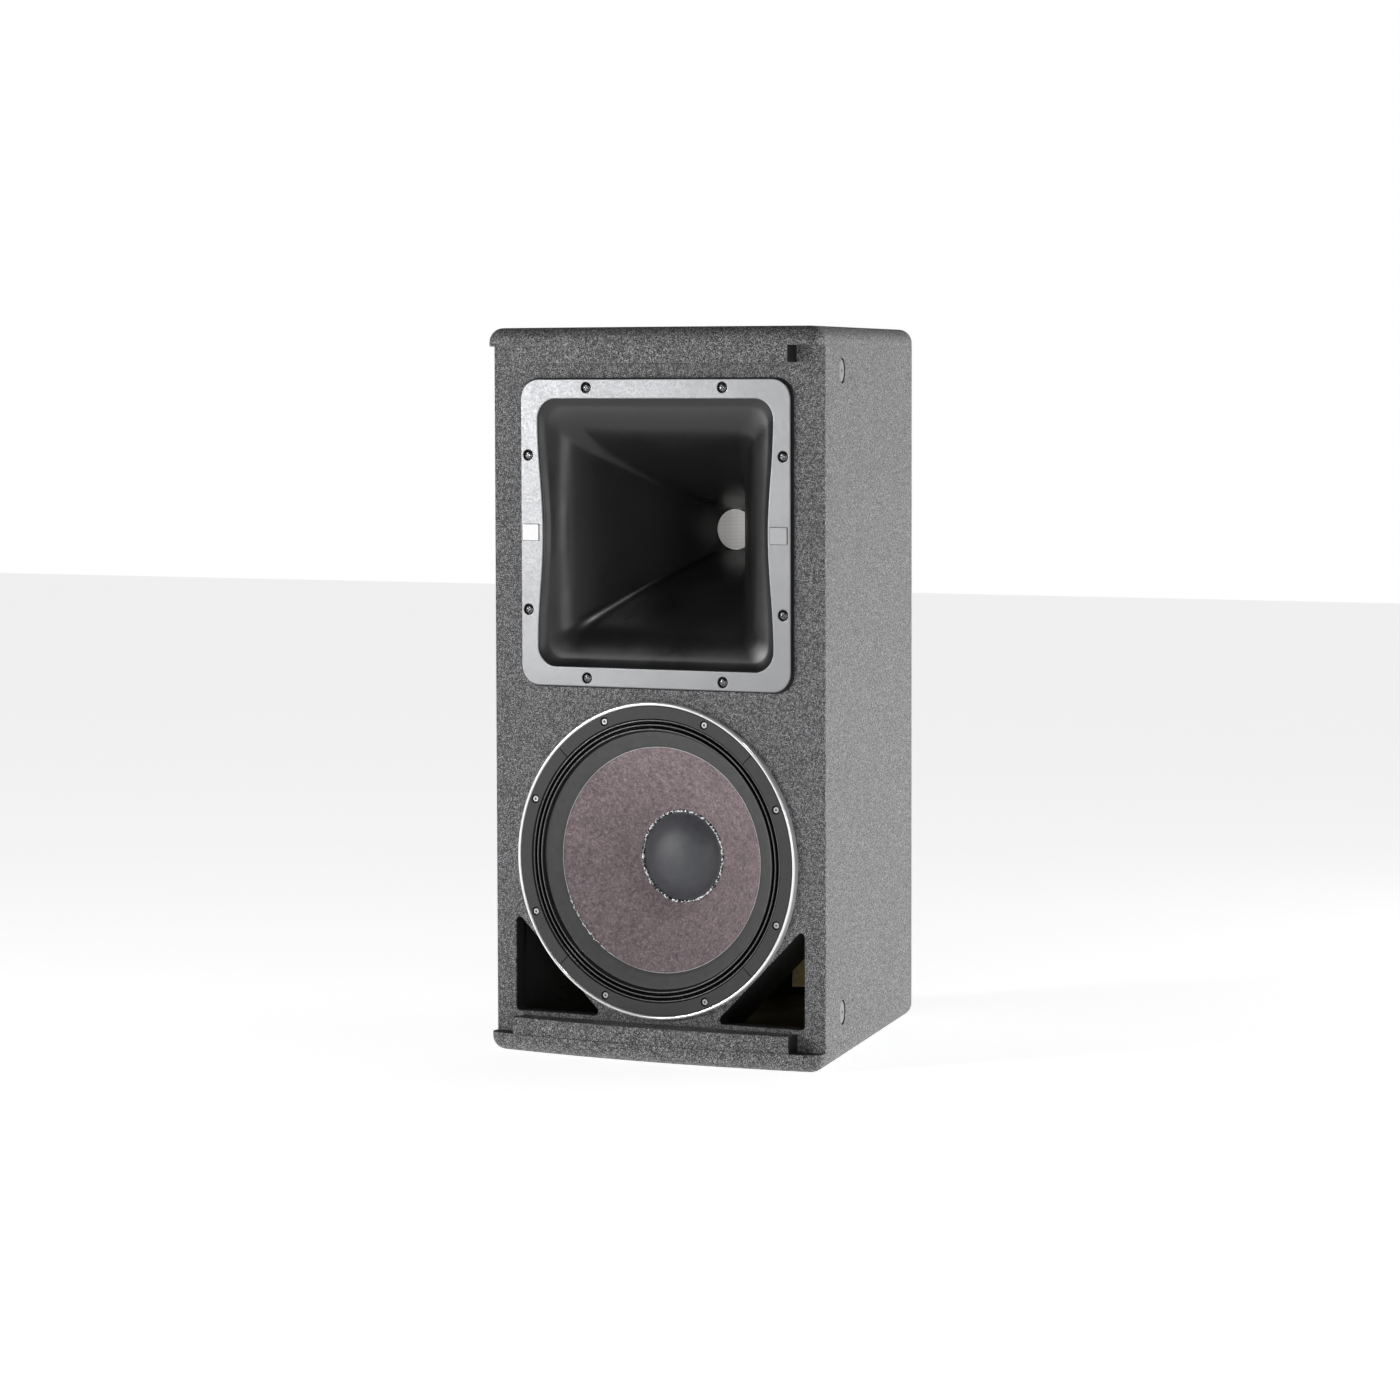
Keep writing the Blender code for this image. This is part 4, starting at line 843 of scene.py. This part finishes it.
def make_bezel():
    mouth = mouth_outline(MOUTH_HALF + 0.0004, MOUTH_CORNER, MOUTH_BOW, 12, 40)
    heads = [circle(0.0055, 32, place) for place in HORN_SCREWS]
    outer = rounded_box(BEZEL_HALF, BEZEL_HALF, BEZEL_CORNER, 14)
    plate = slab([outer, mouth, *heads], BEZEL_FRONT, BEZEL_BACK, [0.0007, 0.0009] + [0.0003] * len(heads))
    piece("bezel_frame", plate, BEZEL, "horn_bezel", HORN)
    seal = rounded_box(GASKET_HALF, GASKET_HALF, BEZEL_CORNER, 10)
    hole = rounded_box(0.1367, 0.1367, 0.014, 6)
    piece("bezel_seal", slab([seal, hole], -0.001, 0), FOAM, "horn_gasket", HORN)


def cross_screw():
    """A pan head with a cross recess, on its shank."""
    head = lathe([(0, -0.005), (0.002, -0.00494), (0.0034, -0.0047), (0.0043, -0.0042), (0.0047, -0.0036),
                  (0.0048, -0.0028), (0.0023, -0.0027), (0.0023, 0.0165), (0, 0.018)], 32)
    arm, half = 0.0025, 0.0006
    cross = [(arm, -half), (arm, half), (half, half), (half, arm), (-half, arm), (-half, half), (-arm, half),
             (-arm, -half), (-half, -half), (-half, -arm), (half, -arm), (half, -half)]
    return carve(head, slab([cross], -0.006, -0.0036))


def make_horn_screws():
    pattern = cross_screw()
    for i in range(8):
        name = f"horn_screw_{i + 1}"
        place = middle(name)
        place.y = FACE
        spin = about_y(37 * i + 12)
        piece(f"pan_head_{i + 1}", pattern.copy(), BLACK_STEEL, name, place, spin)
    pattern.free()


def make_blank_plates():
    """Two blank plates on the bezel's uprights, each on a slightly larger dark foot."""
    seam = BEZEL_FRONT - 0.0004
    for word, x, look in (("left", -0.1385, LABEL_WHITE), ("right", 0.1367, LABEL_GREY)):
        foot = slab([rounded_box(0.0095, 0.0084, 0.0009, 4)], seam, BEZEL_FRONT)
        plate = slab([rounded_box(0.0091, 0.008, 0.0009, 4)], seam - 0.0004, seam, 0.0002, steps=2)
        place = (x, FACE, HORN.z)
        plate = piece(f"blank_plate_{word}", joined(foot, plate), look, None, place)
        blacken_paint_and_shade(plate, lambda centre, normal: centre.y > FACE + seam - 0.00001)


def make_throat_screen():
    edge = THROAT_RADIUS - 0.0003
    disc = lathe([(0, -0.0016), (edge, -0.0016), (edge, -0.0009), (0, -0.0009)], 64)
    place = HORN + Vector((0, THROAT_DEPTH, 0))
    piece("throat_gauze", disc, SCREEN, "throat_screen", place)


# ---- woofer


def gasket_ring(outer, inner, low, high, gap, notch):
    """A ring made of four equal lengths, with a round notch at each of the basket's screws."""
    parts = []
    bore = [(0, low - 0.001), (notch, low - 0.001), (notch, high + 0.001), (0, high + 0.001)]
    sweep = pi / 2 - 2 * gap / outer
    for quarter in range(4):
        start = pi / 4 + quarter * pi / 2 + gap / outer
        angles = [start + sweep * i / 40 for i in range(41)]
        outline = [(outer * cos(a), outer * sin(a)) for a in angles]
        outline += [(inner * cos(a), inner * sin(a)) for a in reversed(angles)]
        near = [(x, z) for x, z in WOOFER_SCREWS if (atan2(z, x) - start) % (2 * pi) < sweep]
        parts.append(carve(slab([outline], low, high, 0.0004, steps=2), *bores(bore, 32, near)))
    return joined(*parts)


def make_basket():
    """The bright machined rim at the front, and the dark casting with its windows behind."""
    rim = lathe([(0.1512, -0.0031), (0.1514, -0.0064), (0.1519, -0.0069), (0.1528, -0.007), (0.1537, -0.0069),
                 (0.1543, -0.0064), (WOOFER_RADIUS, -0.0056), (WOOFER_RADIUS, 0), (0.1392, 0),
                 (0.1372, -0.0031)], 192, loop=True)
    bore = [(0, -0.02), (0.0028, -0.02), (0.0028, 0.006), (0, 0.006)]
    rim = carve(rim, *bores(bore, 16, WOOFER_SCREWS))
    rim = piece("basket_rim", rim, CHROME, place=WOOFER, crease=50)
    # the rim inside the gasket is black: painted shade in the screw notches
    blacken_paint_and_shade(rim, lambda centre, normal: hypot(centre.x, centre.z - WOOFER.z) < 0.1506)
    casting = lathe([(0.1392, 0), (0.1386, 0.008), (0.12, 0.04), (0.085, 0.06), (0.083, 0.0777),
                     (0.076, 0.0777), (0.076, 0.064), (0.08, 0.056), (0.1165, 0.037), (0.135, 0.008),
                     (0.1372, 0)], 96, loop=True)
    radially = Matrix(((0, 1, 0), (0, 0, 1), (1, 0, 0))).to_4x4()
    window = rounded_box(0.031, 0.017, 0.008, 5)
    windows = [moved(slab([window], 0.08, 0.136), (0, 0.037, 0), about_y(60 * i) @ radially)
               for i in range(6)]
    casting = carve(casting, *windows)
    piece("basket_casting", casting, CASTING, "woofer_basket", WOOFER, crease=40)


def make_woofer_front():
    """The gasket over the edge of the surround, and the eight socket-headed screws."""
    ring = gasket_ring(0.1509, 0.1384, -0.0066, -0.0034, 0.0003, 0.0044)
    piece("basket_gasket", ring, GASKET, "woofer_gasket", WOOFER)
    head = lathe([(0, -0.0062), (0.0026, -0.0062), (0.003, -0.0058), (0.0031, -0.0052), (0.0031, -0.0032),
                  (0.0021, -0.0032), (0.0021, 0.011), (0, 0.012)], 32)
    head = carve(head, slab([circle(0.0015, 6)], -0.007, -0.0042))
    for i, (x, z) in enumerate(WOOFER_SCREWS, 1):
        place = WOOFER + Vector((x, 0, z))
        piece(f"basket_screw_{i}", head.copy(), SCREW_STEEL, None, place, about_y(23 * i))
    head.free()


def pleated_ring(name, line, look, node, per_span):
    """A soft ring between basket and cone, which follows the cone more the closer it is to its axis."""
    front = smooth_line(line, per_span)
    back = [(r, depth + 0.0006) for r, depth in reversed(front)]
    ring = piece(name, lathe(front + back, 192, loop=True), look, node, WOOFER, body=None, crease=60)
    fixed, moving = line[0][0], line[-1][0]
    start, end = WOOFER + Vector((fixed, 0, 0)), WOOFER + Vector((moving, 0, 0))
    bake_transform(ring, "cabinet", "cone_assembly", start=start, end=end)
    for vert, weight in zip(ring.data.vertices, ring.data.attributes["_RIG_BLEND"].data):
        radius = hypot(vert.co.x - WOOFER.x, vert.co.z - WOOFER.z)
        t = min(max((fixed - radius) / (fixed - moving), 0), 1)
        weight.value = t * t * (3 - 2 * t)


def make_suspension():
    half = (PLEAT_CRESTS[0] - PLEAT_CRESTS[1]) / 2
    surround = [(0.139, -0.0029), (0.1382, -0.0032)]
    for crest in PLEAT_CRESTS:
        surround += [(crest + half * 0.35, -0.0047), (crest, -0.0052), (crest - half * 0.35, -0.0047),
                     (crest - half, -0.0014)]
    surround += [(0.1248, -0.0004), (0.1236, 0)]
    pleated_ring("surround_pleats", surround, SURROUND, "woofer_surround", 4)
    ripples = [(0.075, 0.064), (0.068, 0.062), (0.06, 0.065), (0.052, 0.062), (0.045, 0.065),
               (0.0394, 0.064)]
    pleated_ring("spider_ripples", ripples, SPIDER, "spider", 6)


def bead(radius, depth, steps, thickness):
    """A closed rope of glue round the woofer's axis. thickness(spoke, angle) gives its radius and drift."""
    rings = []
    turns = [2 * pi * k / 10 for k in range(10)]
    for i in range(steps):
        angle = 2 * pi * i / steps
        thick, drift = thickness(Vector((cos(angle), sin(angle), 0)), angle)
        out = Vector((cos(angle), 0, sin(angle)))
        core = out * (radius + drift) + Vector((0, depth, 0))
        rings.append([core + (out * cos(t) + Vector((0, sin(t), 0))) * thick for t in turns])
    return skin(rings, loop=True)


def glue_and_glint_bead(spoke, angle):
    """Thin and white all the way round, a painted glint along the cone's edge, with lumps of white glue along
    the lower left.
    """
    lumps = max(0, 1 - abs((angle - radians(219)) / radians(24)) ** 4)
    blob = max(0, noise.noise(spoke * 70 + Vector((5, 1, 0))) + 0.12)
    thick = 0.00022 + 0.00008 * noise.noise(spoke * 45) + 0.002 * lumps * blob
    return thick, 0.0016 * lumps * noise.noise(spoke * 55)


def cap_bead(spoke, _):
    lumps = noise.fractal(spoke * 9, 1, 2, 3)
    return 0.0013 + 0.0006 * lumps, 0.0005 * noise.noise(spoke * 12 + Vector((0, 3, 0)))


def make_cone():
    """Paper cone with a coated landing for the surround, the glue at both joints with painted glints on it,
    and the dust cap.
    """

    def shell(line, thick):
        return lathe([*line, *[(r, depth + thick) for r, depth in reversed(line)]], 224, loop=True)

    def travelling(name, work, look, node=None, crease=60):
        piece(name, work, look, node, WOOFER, body="cone_assembly", crease=crease)

    slope = smooth_line([(0.1105, 0.0066), (0.08, 0.0258), (0.057, 0.0415), (0.0386, 0.056)], 12)
    cone = roughen(shell(slope, 0.0009), 0.00012, 90)
    travelling("cone_paper", cone, CONE, "woofer_cone")
    landing = [(0.1256, -0.0009), (0.124, -0.0004), (0.12, 0.0016), (0.115, 0.004), (0.1104, 0.0061),
               (0.1099, 0.0067)]
    travelling("cone_landing", shell(landing, 0.0007), LANDING)
    edge = bead(0.1101, 0.0064, 720, glue_and_glint_bead)
    travelling("cone_edge_glue_and_glint", edge, WHITE_GLUE_AND_GLINT, crease=80)
    glue = roughen(bead(0.0446, 0.05, 360, cap_bead), 0.0003, 420)
    travelling("cap_glue", glue, GLUE, crease=80)
    dome = smooth_line([(0, 0.0368), (0.009, 0.0372), (0.017, 0.0384), (0.025, 0.0405), (0.032, 0.0436),
                        (0.038, 0.0473), (0.0415, 0.05), (0.0436, 0.0509)], 5)
    inner = [(r * 0.985, depth + 0.0006) for r, depth in reversed(dome)]
    travelling("cap_dome", lathe(dome + inner, 128), DOME, "dust_cap")


# ---- rear dish


def make_dish():
    """The moulded input dish: rounded flange, drafted walls, floor, and four screws."""
    low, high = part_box("input_dish")
    front = high.y - FACE
    floor = front - 0.026
    half_x, half_z = high.x, high.z - DISH.z
    lines = [  # (inset, depth, corner), from behind the floor
        (0.0093, floor - 0.0022, 0.005), (0.0063, front - 0.0025, 0.005), (0, front - 0.0025, 0.005),
        (0, front - 0.001, 0.005), (0.0003, front - 0.0003, 0.005), (0.001, front, 0.005),
        (0.0073, front, 0.005), (0.0082, front - 0.0003, 0.005), (0.0085, front - 0.0012, 0.005),
        (0.0113, floor + 0.0016, 0.005), (0.0119, floor + 0.0003, 0.004), (0.0135, floor, 0.003),
    ]
    rings = [[(u, depth, v) for u, v in rounded_box(half_x - away, half_z - away, corner)]
             for away, depth, corner in lines]
    bore = [(0, -0.02), (0.0122, -0.02), (0.0122, 0.02), (0, 0.02)]
    slot_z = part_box("mode_switch_lever")[0].z - DISH.z + 0.002
    slot = slab([rounded_box(0.0068, 0.0028, 0.0006, 3, (0, slot_z))], floor - 0.02, floor + 0.02)
    dish = carve(skin(rings, caps=True), *bores(bore, 48, [(x, SOCKET_Z) for x in SOCKET_XS], floor), slot)
    centre = Vector((0, FACE, DISH.z))
    piece("rear_dish", dish, BLACK_MATT, "input_dish", centre)
    pattern = cross_screw()
    bmesh.ops.scale(pattern, vec=(0.55, 0.55, 0.55), verts=pattern.verts)
    x, z = half_x - 0.0042, half_z - 0.0042
    for i, (sx, sz) in enumerate(((-1, -1), (1, -1), (-1, 1), (1, 1)), 1):
        place = centre + Vector((sx * x, front - 0.0028, sz * z))
        piece(f"dish_screw_{i}", pattern.copy(), BLACK_STEEL, None, place, FACING_BACK)
    pattern.free()
    blank = slab([rounded_box(0.024, 0.005, 0.001, 4)], 0, 0.0005, 0.0002, steps=2)
    place = centre + Vector((0, floor + 0.0005, -0.034))
    piece("dish_blank_plate", blank, LABEL_GREY, None, place, FACING_BACK)


def make_sockets():
    """Two round locking sockets: keyed sleeve, and core with contacts."""
    sleeve = lathe([(0, 0.016), (0.0095, 0.016), (0.0095, -0.005), (0.0099, -0.0058), (0.0108, -0.006),
                    (0.0122, -0.0058), (0.0128, -0.005), (0.0148, -0.0022), (0.015, -0.0015), (0.015, 0),
                    (0.012, 0), (0.012, 0.018), (0, 0.018)], 64)
    key = rounded_box(0.0013, 0.0012, 0.0004, 2, (0, 0.01))
    sleeve = carve(sleeve, *spokes(key, -0.007, 0.012, (25, 150, 270)))
    core = lathe([(0, -0.0015), (0.004, -0.0015), (0.0044, -0.0011), (0.0052, -0.001), (0.0056, -0.0005),
                  (0.0057, 0.016), (0, 0.016)], 48)
    quarters = (20, 110, 200, 290)
    slot = rounded_box(0.0011, 0.0014, 0.0003, 2, (0, 0.0052))
    core = carve(core, *spokes(slot, -0.003, 0.01, quarters))
    blade = rounded_box(0.0008, 0.0004, 0.0001, 1, (0, 0.0046))
    contacts = joined(*spokes(blade, 0.0012, 0.0098, quarters))
    for x, word in zip(SOCKET_XS, ("left", "right")):
        node = f"{word}_output_socket"
        place = (x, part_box(node)[1].y - 0.006, middle(node).z)
        for part, work, look, slot, replaced in (("sleeve", sleeve, BLACK_SATIN, "black_plastic", node),
                                                 ("core", core, BLUE_GREY, "black_plastic", None),
                                                 ("contacts", contacts, BRASS, "zinc_steel", None)):
            piece(f"{word}_socket_{part}", work.copy(), look, replaced, place, FACING_BACK)
    for work in (sleeve, core, contacts):
        work.free()


def make_strip_screws():
    """A clamp plate and screw in each bay of the barrier strip."""
    y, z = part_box("barrier_strip")[0].y, middle("barrier_strip").z - 0.003
    pattern = cross_screw()
    bmesh.ops.scale(pattern, vec=(0.62, 0.3, 0.62), verts=pattern.verts)
    for i in range(4):
        x = 0.012 * (i - 1.5)
        place = (x, y + 0.0052, z)
        piece(f"terminal_screw_{i + 1}", pattern.copy(), ZINC, None, place, FACING_BACK)
        clamp = slab([rounded_box(0.0044, 0.0052, 0.0008, 3)], 0, 0.0008, 0.0002, steps=2)
        place = (x, y + 0.0058, z)
        piece(f"terminal_clamp_{i + 1}", clamp, BRASS, None, place, FACING_BACK)
    pattern.free()


def make_switch_knob():
    """A ribbed slider on the switch's lever."""
    low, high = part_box("mode_switch_lever")
    half = (high.x - low.x) / 2
    line = [(-half, low.y), (half, low.y), (half, high.y - 0.0005)]
    ribs = 4
    for i in range(ribs):
        right = half - i * 2 * half / ribs
        left = right - 2 * half / ribs
        line += [(right - 0.0002, high.y), (left + 0.0003, high.y), (left + 0.0001, high.y - 0.0006)]
    line.append((-half, high.y - 0.0005))
    place = (middle("mode_switch_lever").x, 0, 0)
    knob = slab([line], low.z, high.z, level=True)
    piece("slider_knob", knob, BLACK_SATIN, "mode_switch_lever", place, body="switch_lever")


# ---- carried-over solids


def dress_nodes():
    """Finishes for the solids that stay as they are."""
    looks = (
        (BARE_WOOD, "shelf_brace"),
        (BLACK_PAINT_AND_SHADE, "left_port_board right_port_board"),
        (ZINC, "hf_pole_piece hf_top_plate woofer_top_plate woofer_back_plate mode_switch_body"),
        (FERRITE, "hf_magnet woofer_magnet"),
        (BLACK_SATIN, "hf_phase_plug woofer_terminals barrier_strip"),
        (BLACK_MATT, "hf_rear_cover"),
        (TITANIUM, "hf_diaphragm"),
        (COPPER, "voice_coil crossover_inductor"),
        (CLEAR, "terminal_cover"),
        (BOARD, "crossover_board"),
        (COMPONENT, "crossover_capacitor"),
        (WIRE, "input_cable woofer_cable hf_cable"),
    )
    for look, names in looks:
        for name in names.split():
            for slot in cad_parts[name].material_slots:
                slot.material = look


# ---- studio


def make_floor():
    work = bmesh.new()
    bmesh.ops.create_grid(work, x_segments=12, y_segments=12, size=9)
    floor = solid_object(work)
    floor.name = floor.data.name = "studio_floor"
    look = Look("pale_floor", (0.92, 0.92, 0.92), 0.9, Emission_Color=(1, 1, 1),
                Emission_Strength=FLOOR_GLOW)
    look.paint(look.ramp(look.noise(3), (0.3, 0.9), (0.7, 0.93)))
    floor.data.materials.append(look.material)


def make_world():
    """A white backdrop all round, whose light comes from behind the cabinet and not from overhead."""
    world = bpy.data.worlds.new("studio")
    world.use_nodes = True
    tree = Tree(world.node_tree)
    coords = tree.add("TexCoord", {}, "Generated")
    factors = []
    for axis, stops in (((0, 1, 0), WORLD_BACK), ((0, 0, 1), WORLD_UP)):
        along = tree.vector_math("DOT_PRODUCT", "Value", coords, axis)
        half = tree.math("MULTIPLY_ADD", along, 0.5, 0.5)
        factors.append(tree.ramp(half, *[(0.5 + place / 2, grey) for place, grey in stops]))
    seen = tree.add("LightPath", {}, "Is Camera Ray")
    background = world.node_tree.nodes["Background"]
    tree.put(background.inputs["Color"], (1, 1, 1))
    tree.put(background.inputs["Strength"], tree.math("MAXIMUM", tree.math("MULTIPLY", *factors), seen))
    bpy.context.scene.world = world


def aimed(obj, place, turn):
    bpy.context.scene.collection.objects.link(obj)
    obj.matrix_world = Matrix.Translation(place) @ turn.to_4x4()


def soft_light(name, place, size, power, target=LIGHTS_AIM, diffuse=True):
    """A rectangular lamp that the camera doesn't see. Without diffuse it only shows in glossy surfaces."""
    light = bpy.data.lights.new(name, "AREA")
    light.shape = "RECTANGLE"
    light.size, light.size_y = size
    light.energy = power
    obj = bpy.data.objects.new(name, light)
    aimed(obj, place, (Vector(target) - Vector(place)).to_track_quat("-Z", "Y").to_matrix())
    obj.visible_camera = False
    obj.visible_diffuse = diffuse


def make_camera():
    yaw, pitch, roll = (radians(a) for a in CAMERA_TURN)
    look = Vector((-sin(yaw) * cos(pitch), cos(yaw) * cos(pitch), -sin(pitch)))
    across = Vector((cos(yaw), sin(yaw), 0))
    up = across.cross(look)
    right = across * cos(roll) + up * sin(roll)
    top = up * cos(roll) - across * sin(roll)
    camera = bpy.data.cameras.new("camera")
    camera.lens, camera.sensor_width = CAMERA_LENS, CAMERA_SENSOR
    camera.clip_start, camera.clip_end = 0.1, 40
    obj = bpy.data.objects.new("camera", camera)
    aimed(obj, CAMERA_PLACE, Matrix((right, top, -look)).transposed())
    bpy.context.scene.camera = obj


def make_studio():
    make_floor()
    make_world()
    soft_light("key_left", (-1.75, -2.45, 0.7), (0.6, 0.6), 35)
    soft_light("fill_right", (1.35, -2.9, 0.6), (1.4, 0.9), 14)
    soft_light("side_right", (1.6, 1.2, 0.12), (1.3, 0.2), 30, target=(0.1, 0, 0.12))
    soft_light("bezel_glow", (-0.95, -1.35, 0.45), (0.35, 0.45), 0.6, diffuse=False)
    soft_light("overhead_glow", (1.05, -1.1, 2.5), (0.4, 0.4), 14, diffuse=False)
    bpy.context.scene.view_settings.view_transform = "Standard"
    make_camera()


for make in (
    make_panels, make_sides, make_baffle, make_back, make_battens, make_wool, make_waveguide, make_bezel,
    make_horn_screws, make_blank_plates, make_throat_screen, make_basket, make_woofer_front, make_suspension,
    make_cone, make_dish, make_sockets, make_strip_screws, make_switch_knob, dress_nodes, make_studio,
):
    make()
